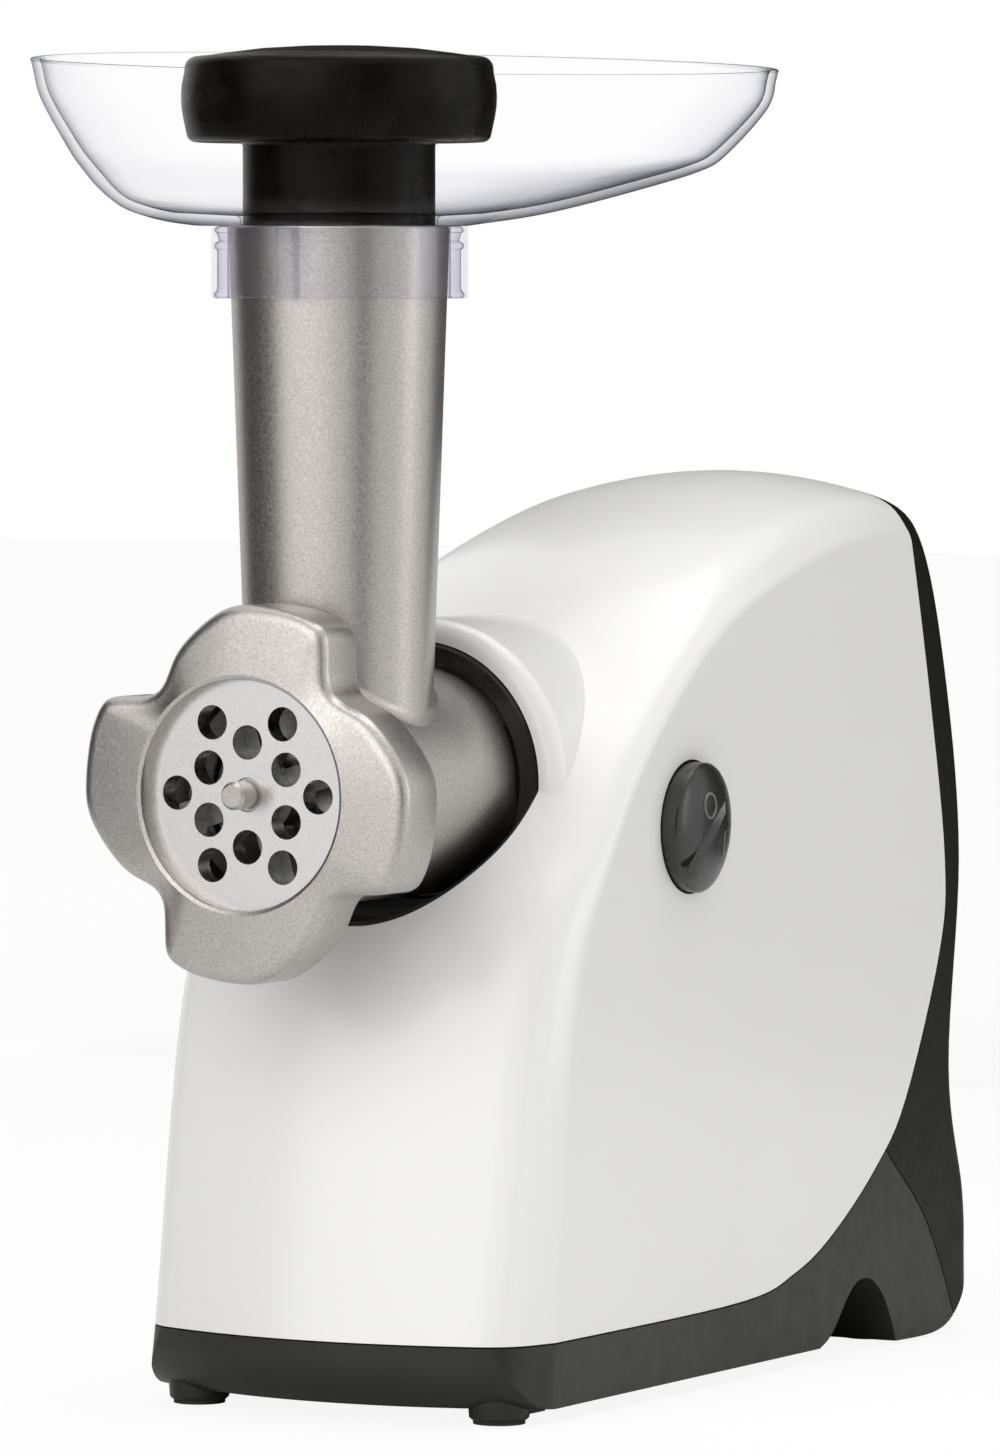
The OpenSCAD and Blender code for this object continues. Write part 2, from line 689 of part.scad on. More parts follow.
// Section of the screw: round core with one flight
function screw_section() = concat(
    [for (a = [34 : 27 : 326]) polar(core_r, a)],
    [for (a = [-26, -10, 10, 26]) polar(flight_r, a)]
);
module feed_screw() color(steel) placed() {
    length = flight_end - screw_y;
    along_y(screw_y) linear_extrude(length, twist = -360 * length / pitch, slices = 52)
        polygon(screw_section());
    along_y(knife_y - 0.05) linear_extrude(knife_t + 1) square(knife_square, center = true);
    along_y(plate_y + 0.4) cylinder(r = hole_d / 2 - 0.15, h = plate_t);
    along_y(plate_y - pin_reach) cylinder(r1 = pin_r - 0.7, r2 = pin_r, h = 0.9);
    along_y(plate_y - pin_reach + 0.9 - eps) cylinder(r = pin_r, h = pin_reach + 1);
    along_y(flight_end - past) cylinder(r = journal_r, h = tail_y - flight_end + past);
    along_y(tail_y - past) linear_extrude(tail_l / 2 + past) square(square_in, center = true);
}

module cross_knife() color(steel) placed() along_y(knife_y) difference() {
    union() {
        cylinder(r = 9, h = knife_t);
        for (k = [0 : 3]) rotate(90 * k + blade_turn) rotate([90, 0, 90]) linear_extrude(plate_r - 1.5)
            polygon([[-blade_w / 2, 0], [blade_w / 2, 0], [blade_w / 2 - 0.8, 2], [-1, knife_t - 1],
                [0.6 - blade_w / 2, knife_t - 1]]);
    }
    translate([0, 0, -past]) linear_extrude(knife_t + 2 * past) square(knife_square + 0.2, center = true);
}

module drive_tail() color(black) placed() along_y(tail_y) difference() {
    cylinder(r = tail_r, h = tail_l);
    translate([0, 0, -past]) linear_extrude(tail_l / 2 + past + 0.05) square(square_in + 0.1, center = true);
    translate([0, 0, tail_l / 2]) linear_extrude(tail_l) square(square_out + 0.2, center = true);
}

// ---- Gear train ----------------------------------------------------------------------------

// Angle, in degrees, of the involute from its base circle to radius r
function involute(rb, r) = r <= rb ? 0 : let (t = sqrt(pow(r / rb, 2) - 1)) t * 180 / PI - atan(t);
function tooth(z, m) = let (
    rp = z * m / 2,
    rb = rp * cos(pressure_angle),
    ra = rp + addendum * m,
    rf = rp - dedendum * m,
    half = 90 / z - backlash / 2 / rp * 180 / PI + involute(rb, rp),
    radii = rf < rb ? [rf, rb, rp, ra] : [rf, rp, ra]
) [for (r = radii) [r, half - involute(rb, r)]];
function gear_outline(z, m) = let (t = tooth(z, m), n = len(t)) [
    for (k = [0 : z - 1]) each concat(
        [for (i = [0 : n - 1]) polar(t[i][0], 360 * k / z - t[i][1])],
        [for (i = [n - 1 : -1 : 0]) polar(t[i][0], 360 * k / z + t[i][1])]
    )
];
// Direction from one axis to another in the local frame of along_y
function toward(a, b) = atan2(a[1] - b[1], b[0] - a[0]);
module teeth(z, m, w, turn) rotate(turn) linear_extrude(w) polygon(gear_outline(z, m));
// A wheel and the pinion in front of it on one hub
module compound(p, stage, y, from, to, pinion_y, pinion_w) difference() {
    union() {
        along_y(y, p) teeth(wheel_teeth[stage], stage_module[stage], face_w[stage],
            toward(p, from) + 180 / wheel_teeth[stage]);
        along_y(pinion_y, p) teeth(pinion_teeth, stage_module[stage + 1], pinion_w, toward(p, to));
    }
    along_y(pinion_y - past, p) cylinder(r = gear_pin_r + run_fit, h = wide / 2);
}
module gear_1() color(nylon) placed()
    compound(g1_at, 0, fast_y, motor_at, g2_at, mid_y - 0.5, face_w[1] + gear_gap + 0.5 + past);
module gear_2() color(steel) placed()
    compound(g2_at, 1, mid_y, g1_at, out_at, last_y - 0.5, face_w[2] + gear_gap + 0.5 + past);
module output_gear() color(steel) placed() difference() {
    along_y(last_y, out_at) teeth(wheel_teeth[2], stage_module[2], face_w[2],
        toward(out_at, g2_at) + 180 / wheel_teeth[2]);
    along_y(last_y - past) cylinder(r = shaft_r + pin_fit, h = face_w[2] + 2 * past);
    for (s = [0 : 5]) along_y(last_y - past) rotate(60 * s) translate([18, 0, 0])
        cylinder(r = 5, h = face_w[2] + 2 * past);
}
module drive_shaft() color(steel) placed() {
    along_y(gearbox_y - 12) cylinder(r = shaft_r, h = cover_end + 12 - gearbox_y);
    along_y(tail_y + tail_l / 2 + 0.5) translate([-square_out / 2, -square_out / 2, 0])
        cube([square_out, square_out, gearbox_y - 12 - tail_y - tail_l / 2]);
}
module output_bush() color(brass) placed() along_y(gearbox_y - 10)
    ring(bush_r, shaft_r + run_fit, 10 + gearbox_wall);
module gear_pins() color(steel) placed() for (p = [g1_at, g2_at])
    along_y(gearbox_y + past, p) cylinder(r = gear_pin_r, h = cover_end - gearbox_y - 2 * past);

module case_outline(grow) for (p = [[out_at, tip_3], [g2_at, tip_2], [g1_at, tip_1], [motor_at, tip_0]])
    translate([p[0][0], axis_z - p[0][1]]) circle(p[1] + case_gap + grow);
module motor_outline() translate([0, axis_z - motor_at[1]]) rounded_2d(stator_w, stator_h, 7);
module gearbox_housing() color(nylon) placed() difference() {
    union() {
        along_y(gearbox_y) linear_extrude(cover_y - gearbox_y) case_outline(case_wall);
        along_y(gearbox_y - 10) cylinder(r = bush_r + 3, h = 10 + past);
        case_screws() along_y(gearbox_y) cylinder(r = 3.5, h = cover_y - gearbox_y);
    }
    along_y(gearbox_y + gearbox_wall) linear_extrude(wide) case_outline(0);
    along_y(gearbox_y - 10 - past) cylinder(r = bush_r + pin_fit, h = 20 + past);
    for (p = [g1_at, g2_at]) along_y(gearbox_y + past / 2, p)
        cylinder(r = gear_pin_r + pin_fit, h = gearbox_wall + past);
    case_screws() along_y(cover_y - 12) cylinder(r = 1.3, h = 20);
}
// Screws round the gearbox, outside the gears
module case_screws() {
    out = case_gap + case_wall + 1.5;
    spots = [[out_at, tip_3, 50], [out_at, tip_3, 130], [out_at, tip_3, 215], [g2_at, tip_2, -5],
        [g1_at, tip_1, 155]];
    for (s = spots) let (p = s[0] + polar(s[1] + out, s[2])) translate([p[0], 0, p[1] - axis_z]) children();
}
module gearbox_cover() color(cast) placed() difference() {
    union() {
        along_y(cover_y) linear_extrude(cover_t) union() {
            case_outline(case_wall);
            motor_outline();
        }
        case_screws() along_y(cover_y) cylinder(r = 3.5, h = cover_t);
        along_y(cover_y, motor_at) cylinder(r = bearing_r + 3, h = cover_t + bearing_w);
        at_bolts() along_y(cover_y, motor_at) cylinder(r = 4.5, h = stack_y - cover_y);
    }
    along_y(cover_y + 2, motor_at) cylinder(r = bearing_r + pin_fit, h = cover_t + bearing_w);
    along_y(cover_y - past, motor_at) cylinder(r = motor_shaft_r + 4, h = wide / 4);
    along_y(cover_y - past) cylinder(r = shaft_r + run_fit, h = cover_t + 2 * past);
    for (p = [g1_at, g2_at]) along_y(cover_y - past, p)
        cylinder(r = gear_pin_r + pin_fit, h = cover_t + 2 * past);
    case_screws() along_y(cover_y - past) cylinder(r = 1.7, h = 10);
    at_bolts() along_y(cover_y + 2, motor_at) cylinder(r = bolt_r + 0.1, h = wide / 4);
}
// Copies a piece to the four bolts of the motor
module at_bolts() for (a = [-1, 1]) for (b = [-1, 1])
    translate([a * bolt_at[0], 0, b * bolt_at[1]]) children();
module gearbox_screws() color(steel) placed() case_screws() {
    along_y(cover_y - 11) cylinder(r = 1.25, h = 11 + cover_t);
    along_y(cover_end) cylinder(r = 3, h = 2);
}

// ---- Motor ---------------------------------------------------------------------------------

module motor_shaft() color(steel) placed() {
    along_y(fast_y - 0.5, motor_at)
        teeth(pinion_teeth, stage_module[0], face_w[0] + 1, toward(motor_at, g1_at));
    along_y(fast_y + face_w[0], motor_at) cylinder(r = 3.9, h = cover_y + 2 - fast_y - face_w[0]);
    along_y(cover_y + 2 - eps, motor_at) cylinder(r = motor_shaft_r, h = shaft_end - cover_y - 2);
}
slots = 12;
module armature_core() color(steel) placed() along_y(stack_y, motor_at) linear_extrude(stack_l) difference() {
    circle(armature_r);
    circle(motor_shaft_r + pin_fit);
    for (k = [0 : slots - 1]) rotate(360 / slots * k) {
        translate([11, -2.2]) square([6, 4.4]);
        translate([16, -0.9]) square([6, 1.8]);
    }
}
module armature_windings() color(copper) placed() along_y(stack_y - 6.5, motor_at) union() {
    ring(17, motor_shaft_r + 2, 6.3);
    translate([0, 0, stack_l + 6.7]) ring(17, motor_shaft_r + 2, 6.3);
    for (k = [0 : slots - 1]) rotate(360 / slots * k) translate([11.2, -2, 5]) cube([5.4, 4, stack_l + 3]);
}
module commutator() color(copper) placed() along_y(commutator_y, motor_at) difference() {
    union() {
        ring(commutator_r, motor_shaft_r + pin_fit, commutator_l);
        ring(commutator_r + 1.5, motor_shaft_r + pin_fit, 2);
    }
    for (k = [0 : slots - 1]) rotate(360 / slots * (k + 0.5)) translate([commutator_r - 0.8, -0.3, 2 + past])
        cube([3, 0.6, commutator_l]);
}
module cooling_fan() color(black) placed() along_y(fan_y, motor_at) difference() {
    union() {
        cylinder(r = 9, h = fan_l);
        cylinder(r = fan_r, h = 1.5);
        for (k = [0 : 9]) rotate(36 * k) translate([8, -0.8, 0]) rotate(18) cube([18, 1.5, fan_l]);
    }
    translate([0, 0, -past]) cylinder(r = motor_shaft_r + pin_fit, h = fan_l + 2 * past);
    translate([0, 0, -past]) ring(fan_r + 20, fan_r, fan_l + 2 * past);
}
slot_in = armature_r + air_gap;
slot_out = slot_in + 8.4;
module stator_core() color(steel) placed() along_y(stack_y, motor_at) linear_extrude(stack_l) difference() {
    rounded_2d(stator_w, stator_h, 7);
    circle(slot_in);
    for (s = [0, 180]) rotate(s) sector_2d(slot_out, slot_in - 1, -36, 36);
    for (a = [-1, 1]) for (b = [-1, 1]) translate([a * bolt_at[0], b * bolt_at[1]]) circle(bolt_r + 0.1);
}
// Two saddle coils: a bend at each end of the stack and two straight sides in the slots
module field_coils() color(copper) placed() along_y(stack_y - coil_end, motor_at) {
    for (s = [0, 180]) rotate(s) {
        linear_extrude(coil_end - 0.1) coil_2d(4, 176);
        translate([0, 0, stack_l + coil_end + 0.1]) linear_extrude(coil_end - 0.1) coil_2d(4, 176);
        linear_extrude(stack_l + 2 * coil_end) coil_2d(4, 32);
        linear_extrude(stack_l + 2 * coil_end) coil_2d(148, 176);
    }
}
module coil_2d(from, to) sector_2d(slot_out - 0.3, slot_in + 0.4, from, to);
module motor_bracket() color(cast) placed() difference() {
    union() {
        along_y(bracket_y, motor_at) linear_extrude(bracket_t) rounded_2d(stator_w, stator_h, 7);
        along_y(bracket_y, motor_at) cylinder(r = bearing_r + 3, h = bearing_w + 1);
        at_bolts() along_y(stack_end, motor_at) cylinder(r = 4.5, h = bracket_y - stack_end + past);
        for (s = [-1, 1]) along_y(bracket_y - 14, motor_at + [s * 30, 0]) linear_extrude(14 + past)
            square([10, 18], center = true);
    }
    along_y(bracket_y - past, motor_at) cylinder(r = motor_shaft_r + 4, h = wide / 4);
    along_y(bracket_y + 1, motor_at) cylinder(r = bearing_r + pin_fit, h = bearing_w + past);
    at_bolts() along_y(stack_end - past, motor_at) cylinder(r = bolt_r + 0.1, h = wide / 4);
    for (k = [0 : 3]) along_y(bracket_y - past, motor_at) rotate(90 * k + 45)
        translate([bearing_r + 6, -6, 0]) cube([8, 12, 10]);
    for (s = [-1, 1]) brush_box(s, 12, 4.1 + pin_fit, 5.6 + pin_fit, 30);
}
brush_y = commutator_y + commutator_l / 2 + 1;
// Block along the brush's line on one side of the commutator
module brush_box(s, from, half_y, half_z, long)
    translate([s > 0 ? from : -from - long, brush_y - half_y, motor_at[1] - half_z])
        cube([long, 2 * half_y, 2 * half_z]);
module brush_holders() color(brass) placed() for (s = [-1, 1]) difference() {
    brush_box(s, commutator_r + 2, 4.1, 5.6, 23);
    brush_box(s, commutator_r + 1, brush[0] / 2 + 0.1, brush[1] / 2 + 0.1, 23);
}
module carbon_brushes() color(black) placed() for (s = [-1, 1])
    brush_box(s, commutator_r + 0.15, brush[0] / 2, brush[1] / 2, 16);
module motor_bolts() color(steel) placed() at_bolts() {
    along_y(cover_y + 2.5, motor_at) cylinder(r = bolt_r, h = bracket_y + bracket_t - cover_y - 2.5 + past);
    along_y(bracket_y + bracket_t, motor_at) cylinder(r = 3.5, h = 2.5);
}
module front_bearing() color(steel) placed() along_y(cover_y + 2, motor_at)
    ring(bearing_r, motor_shaft_r + run_fit, bearing_w);
module rear_bearing() color(steel) placed() along_y(bracket_y + 1, motor_at)
    ring(bearing_r, motor_shaft_r + run_fit, bearing_w);

// ---- Tray and pusher -------------------------------------------------------------------------

tray_sides = 40;
// Oval of the tray at one ring; q makes it fuller than an ellipse
function oval(cy, a, b, z) = [
    for (k = [0 : tray_sides - 1]) let (t = 360 * k / tray_sides, c = cos(t), s = sin(t), q = 0.92)
        [b * sign(c) * pow(abs(c), q), cy + a * sign(s) * pow(abs(s), q), z]
];
function bowl_ring(r, inset, lift) = oval(tube_y + r[1] * tray_shift, r[2] * tray_l / 2 - inset,
    r[3] * tray_w / 2 - inset, tube_top + r[0] * tray_h + lift);
module tray() color(clear) placed() {
    hole = tube_bore + 0.4;
    inner = oval(tube_y, hole - 3, hole - 3, tube_top);
    inner_top = oval(tube_y, hole - 3, hole - 3, tube_top + tray_t);
    loops = concat(
        [inner],
        [for (r = bowl) bowl_ring(r, 0, 0)],
        [for (i = [len(bowl) - 1 : -1 : 1]) bowl_ring(bowl[i], tray_t * min(1, bowl[i][0] * 4),
            tray_t * (1 - bowl[i][0]) * 1.05)],
        [inner_top]
    );
    n = len(loops);
    m = tray_sides;
    difference() {
        union() {
            polyhedron(
                points = [for (l = loops) each l],
                faces = [for (i = [0 : n - 1]) for (j = [0 : m - 1])
                    let (a = i * m, b = (i + 1) % n * m, q = (j + 1) % m)
                    each [[a + j, b + j, a + q], [a + q, b + j, b + q]]]
            );
            translate([0, tube_y, collar_z]) difference() {
                cylinder(r = collar_r, h = collar_h + tray_t / 2);
                translate([0, 0, -past]) cylinder(r = tube_r + seat_fit, h = collar_h + past);
            }
            for (a = [0 : 90 : 270]) translate([0, tube_y, collar_z]) rotate(a + 8)
                translate([collar_r - 0.5, -1.2, 0]) cube([2, 2.4, collar_h + tray_t / 2]);
        }
        translate([0, tube_y, tube_top - past]) cylinder(r = hole, h = 2 * tray_t + past);
    }
}

head_z = tube_top + pusher_show;
stem_r = tube_bore - seat_fit;
tip_z = axis_z + flight_r + 3.6;
head_r = pusher_d / 2;
head_top = head_z + pusher_h;
tip_r = stem_r - (tube_top - tip_z) * tube_slope;
stem_wall = 2.4;
module pusher_body() color(black) placed() translate([0, tube_y, 0]) rotate_extrude() polygon([
    [0, tip_z], [tip_r - 1.5, tip_z], [tip_r, tip_z + 1.5], [stem_r, tube_top], [stem_r, head_z],
    [head_r - 2.5, head_z], [head_r - 1.2, head_z + 1], [head_r - 0.3, head_z + pusher_h * 0.3],
    [head_r, head_z + pusher_h * 0.5], [head_r - 0.4, head_z + pusher_h * 0.75], [head_r - 1.5, head_top - 1],
    [head_r - 3, head_top], [head_r - 4, head_top], [head_r - 4, head_top - 4],
    [stem_r - stem_wall, head_top - 4], [stem_r - stem_wall, tube_top], [tip_r - stem_wall, tip_z + 3],
    [0, tip_z + 3]
]);
module pusher_cap() color(black) placed() translate([0, tube_y, head_top]) rotate_extrude() polygon([
    [0, 2.5], [head_r / 2, 1.9], [head_r - 7, 0.4], [head_r - 4.1, 0], [head_r - 4.1, -4],
    [stem_r - 2.5, -4], [stem_r - 2.5, -9], [stem_r - 4.5, -9], [stem_r - 4.5, -1], [0, -1]
]);

// ---- Controls --------------------------------------------------------------------------------

// Local frame of the rocker: z out of the panel, x along the ridge
module rocker_frame(tilt) on_panel(button_y, button_z) translate([0, 0, -wall / 2])
    rotate(90 + ridge_lean) rotate([tilt, 0, 0]) children();
// A disc whose two dished halves meet at the ridge; at rest its lower half is pressed
module rocker_button() color(black) placed() rocker_frame(rocker_tilt) {
    face = button_face + wall / 2;
    top = button_out + wall / 2;
    side = button_r + past;
    intersection() {
        rotate_extrude() polygon([
            [0, -2.5], [button_r, -2.5], [button_r, face - 1], [button_r - 0.9, face + 0.2],
            [button_r - 3.5, top + 0.4], [0, top + 0.4]
        ]);
        rotate([90, 0, 90]) linear_extrude(2 * side, center = true) polygon([
            [-side, -3], [side, -3], [side, face], [button_r - 2, face], [7, face - 0.7], [2.4, face],
            [0.8, top], [-0.8, top], [-2.4, face], [-7, face - 0.7], [2 - button_r, face], [-side, face]
        ]);
    }
    translate([-2, -2, -4.6]) cube([4, 4, 3]);
}
module power_switch() color(black) placed() on_panel(button_y, button_z)
    translate([0, 0, -wall - switch_depth - seat_fit - switch_t]) {
        translate([-10, -13, 0]) cube([20, 26, switch_t - 1.6]);
        difference() {
            translate([0, 0, switch_t - 1.6 - eps]) cylinder(r = button_r + panel_gap + 1.8, h = 1.6);
            translate([0, 0, switch_t - 1.6]) cylinder(r = 4.5, h = 2);
        }
        for (s = [-1, 1]) translate([s * 6 - 2.4, -13 - 5, 1]) cube([4.8, 6, 0.8]);
    }

module release_button() color(black) placed() {
    at_release(release_y) cylinder(r = release_r, h = release_l);
    at_release(release_y + release_l - past)
        cylinder(r = release_stem_r, h = arm_y + arm_t - release_y - release_l + past);
    at_release(arm_y) difference() {
        translate([barrel_r + 0.4 - release_radius, -1.8, 0])
            cube([release_radius - barrel_r - 1, 3.6, arm_t]);
        translate([latch_radius - release_radius, 0, -past])
            cylinder(r = latch_r + pin_fit, h = arm_t + 2 * past);
    }
}
module latch_pin() color(steel) placed() at_release(lug_y + lug_t + 0.3)
    translate([latch_radius - release_radius, 0, 0])
        cylinder(r = latch_r, h = arm_y + arm_t - lug_y - lug_t - 0.3);
// Coil spring behind the release button, as a swept wire
module latch_spring() color(steel) placed() at_release(arm_y + arm_t + 0.2) {
    turns = 4;
    per_turn = 12;
    wire = 0.4;
    r = 3;
    n = turns * per_turn;
    h = gearbox_y - 4 - arm_y - arm_t - 0.4 - 2 * wire;
    polyhedron(
        points = [for (i = [0 : n]) for (k = [0 : 5]) let (a = 360 * i / per_turn, b = 60 * k)
            [(r + wire * cos(b)) * cos(a), (r + wire * cos(b)) * sin(a), wire + h * i / n + wire * sin(b)]],
        faces = concat(
            [[for (k = [0 : 5]) k]],
            [for (i = [0 : n - 1]) for (k = [0 : 5]) let (a = i * 6 + k, b = i * 6 + (k + 1) % 6)
                each [[a, a + 6, b], [b, a + 6, b + 6]]],
            [[for (k = [5 : -1 : 0]) n * 6 + k]]
        )
    );
}
module cord_gland() color(black) placed() along_y(gland_y, [0, gland_z]) difference() {
    union() {
        cylinder(r = gland_r, h = gland_l);
        cylinder(r = gland_r + 2.5, h = 2);
    }
    translate([0, 0, -past]) cylinder(r = cord_r, h = gland_l + 2 * past);
}

housing_shell();
rear_cover();
base_tray();
rubber_feet();
base_screws();
socket_sleeve();
head_casting();
cutter_plate();
ring_nut();
feed_screw();
cross_knife();
drive_tail();
drive_shaft();
output_gear();
output_bush();
gearbox_housing();
gearbox_cover();
gearbox_screws();
gear_pins();
gear_1();
gear_2();
motor_shaft();
armature_core();
armature_windings();
commutator();
cooling_fan();
stator_core();
field_coils();
motor_bracket();
motor_bolts();
front_bearing();
rear_bearing();
brush_holders();
carbon_brushes();
tray();
pusher_body();
pusher_cap();
rocker_button();
power_switch();
cord_gland();
release_button();
latch_pin();
latch_spring();
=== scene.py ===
"""Compact electric meat grinder: skins, finishes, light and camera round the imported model.

Lengths are in millimetres in the makers' helpers. There y runs rearwards from the line of the
two front feet, x to the right seen from the front, and z up from the ground.
"""

import json
import math

import bmesh
import bpy
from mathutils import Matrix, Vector

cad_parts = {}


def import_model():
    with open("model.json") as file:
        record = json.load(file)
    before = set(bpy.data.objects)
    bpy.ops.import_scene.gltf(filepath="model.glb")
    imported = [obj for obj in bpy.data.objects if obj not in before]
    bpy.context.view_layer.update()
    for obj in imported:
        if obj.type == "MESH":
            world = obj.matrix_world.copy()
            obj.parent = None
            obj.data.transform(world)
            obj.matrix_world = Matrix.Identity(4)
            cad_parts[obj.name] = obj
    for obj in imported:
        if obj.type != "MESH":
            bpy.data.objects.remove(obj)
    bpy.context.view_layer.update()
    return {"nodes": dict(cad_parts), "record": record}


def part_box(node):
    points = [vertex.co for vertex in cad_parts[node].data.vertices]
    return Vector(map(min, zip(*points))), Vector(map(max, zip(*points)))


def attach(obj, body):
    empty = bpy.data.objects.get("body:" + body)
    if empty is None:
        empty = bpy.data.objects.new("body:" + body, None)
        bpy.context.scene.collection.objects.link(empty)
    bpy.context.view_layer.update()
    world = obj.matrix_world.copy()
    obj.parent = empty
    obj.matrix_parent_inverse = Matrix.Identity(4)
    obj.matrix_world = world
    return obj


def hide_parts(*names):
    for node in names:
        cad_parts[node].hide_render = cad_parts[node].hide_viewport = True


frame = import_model()

MM = 0.001
PLATE_FRONT = 43.3
FRONT_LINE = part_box("cutter_plate")[0][1] + PLATE_FRONT * MM

# ---- Sizes of the forms that are skinned here

BODY_W, BODY_L, BODY_H = 104.0, 226.0, 206.0
SIDE_TAPER = math.radians(2.4)
WALL = 2.5
SEAM_GAP = 0.4
BASE_LIFT = 3.3
PAD_SHOW = 1.0
BASE_ROUND = 11.0
FORM_LOW = -9.0
# Ribs of the body, from the foot of its front over the top to the foot of its rear: place in
# percent of its length and height, then in mm how far in from the side the rib leaves the flat
# crown, how high the crown is, and how wide the band is that falls to the side.
FORM = [
    (-6, -3, 4, 11, 14), (-4, 9, 4, 11, 14), (2.4, 47, 3, 10, 10), (12.2, 63, 3, 9, 5.5),
    (23.5, 76.7, 4, 8, 4.5), (40.5, 89.8, 5, 7.5, 5.5), (64.5, 98.5, 5, 7, 7.5),
    (82.5, 100, 4, 6.5, 8), (91.1, 95.2, 4, 5, 7), (96.8, 77.7, 3, 4, 6), (100, 57, 3, 4, 6),
    (97.5, 32, 3, 4, 6), (101, 17, 3, 4, 6), (101.5, 8, 3, 4, 6), (101.5, -3, 3, 4, 6),
]
# Lines of the side view in the same percents: the seam between white and dark, the split between
# rear cover and base, the arch under the rear, and the heel behind it.
SEAM = [
    (-30, 9.2), (10, 8.8), (45, 9), (57, 11), (66, 14.6), (76.5, 21.4), (84, 29), (92.5, 46),
    (93.8, 57), (90.1, 76), (85.4, 94.7), (83.4, 100.5), (80, 112),
]
SPLIT = [(74, 30), (79, 23.5), (88, 15.5), (94, 6.5), (99, -4)]
ARCH = [(63, 0), (66, 1.5), (71, 6.4), (75, 7), (78.5, 4.6), (81, 0.6)]
HEEL = [(81.6, 0), (91, 0), (96, 1.5), (99.5, 5.5), (101.5, 12)]
# The tray's bowl from floor to rim, as shares of its depth, rearward shift, half length and half
# width.
BOWL = [
    (0, -0.1, 0.28, 0.44), (0.02, -0.12, 0.37, 0.475), (0.055, -0.02, 0.47, 0.535),
    (0.11, 0.12, 0.57, 0.605), (0.22, 0.44, 0.7, 0.71), (0.35, 0.8, 0.82, 0.82),
    (0.46, 0.92, 0.875, 0.875), (0.75, 1.04, 0.966, 0.966), (0.93, 1.05, 0.988, 0.988),
    (1, 1.05, 0.995, 0.995),
]
# One lobe of the ring nut: degrees from its first tip, and share of its outer radius.
LOBE = [
    (1.5, 1), (12, 1), (30, 0.99), (41, 0.947), (57, 0.855), (69, 0.757), (76, 0.757),
    (83, 0.87), (88, 0.985),
]
LOBE_TIP, LOBES, LOBE_R = 62, 4, 43.3
AXIS_Z = 144.0
BARREL_R, MOUTH_R = 26.5, 29.3
# Radius of the feed screw's flight, and the room that the pusher's tip leaves above it
FLIGHT_R, FLIGHT_ROOM = 22.9, 3.6
TUBE_Y, TUBE_TOP, TUBE_R, TUBE_WALL = -3.5, 272.0, 25.2, 3.0
TUBE_SLOPE = math.tan(math.radians(2))
TRAY_L, TRAY_W, TRAY_H, TRAY_SHIFT, TRAY_T = 254.0, 133.0, 37.5, 32.0, 2.2
COLLAR_H, COLLAR_R = 16.5, 28.3
PUSHER_R, PUSHER_H, PUSHER_SHOW = 36.0, 19.5, 19.0
NUT_L, LIP_T, LIP_R = 17.0, 3.9, 26.0
NUT_Y = -PLATE_FRONT - LIP_T
SLEEVE_R, SLEEVE_Y, SLEEVE_L, BOSS_R, BOSS_ROUND = 32.0, 31.6, 42.4, 37.5, 4.5
BUTTON_R, BUTTON_FACE, BUTTON_OUT, BUTTON_Y, BUTTON_Z = 15.2, 5.8, 7.4, 73.6, 132.4
ROCKER_TILT, RIDGE_LEAN = math.radians(3), math.radians(42)
FOOT_TRACK, FOOT_D = 80.5, 14.0
RELEASE_ANGLE, RELEASE_RADIUS, RELEASE_R = math.radians(215), 46.0, 7.0
SCREW_AT = [(39, 14), (38, 98)]
SCREW_HOLE_R, SCREW_HOLE_TOP = 3.6, 6.3
REAR_PAD = (30, 197)
PAD_SEAT_TOP = 2.4
GLAND_Z, GLAND_R = 52.0, 7.0
# Room between a piece and the hole that it stands in
FIT = 0.25
# Cooling slots: heights in the rear cover, distances from the front feet under the base
REAR_VENTS, REAR_VENT_H = range(92, 142, 7), 2.6
BASE_VENTS, BASE_VENT_L = range(78, 121, 7), 3
# Cutting shapes reach from one of these to the other, well past the object
BEFORE, BEYOND = -200, 400

# ---- Geometry helpers


def placed(p):
    """A point of the front-feet frame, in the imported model's metres."""
    return (p[0] * MM, p[1] * MM + FRONT_LINE, p[2] * MM)


def stand(name, data):
    """An object for the data, in the scene."""
    obj = bpy.data.objects.new(name, data)
    bpy.context.scene.collection.objects.link(obj)
    return obj


def make(name, points, faces):
    """A mesh object from points in millimetres."""
    mesh = bpy.data.meshes.new(name)
    mesh.from_pydata([placed(p) for p in points], [], faces)
    bm = bmesh.new()
    bm.from_mesh(mesh)
    bmesh.ops.remove_doubles(bm, verts=bm.verts, dist=1e-7)
    bmesh.ops.recalc_face_normals(bm, faces=bm.faces)
    bm.to_mesh(mesh)
    bm.free()
    return stand(name, mesh)


def loft(name, rings, closed=False):
    """Joins closed rings of equal length, end to end or with a flat face on both ends."""
    n, m = len(rings), len(rings[0])
    points = [p for ring in rings for p in ring]
    faces = []
    for i in range(n if closed else n - 1):
        for j in range(m):
            i2, j2 = (i + 1) % n, (j + 1) % m
            faces.append((i * m + j, i * m + j2, i2 * m + j2, i2 * m + j))
    if not closed:
        faces.append(tuple(range(m - 1, -1, -1)))
        faces.append(tuple((n - 1) * m + j for j in range(m)))
    return make(name, points, faces)


def turns(count):
    """Angles that divide a full turn evenly."""
    return [2 * math.pi * k / count for k in range(count)]


def circle_ring(radius, sides, at):
    """A ring of points: at(x, y) turns plane coordinates into a point."""
    return [at(radius * math.cos(a), radius * math.sin(a)) for a in turns(sides)]


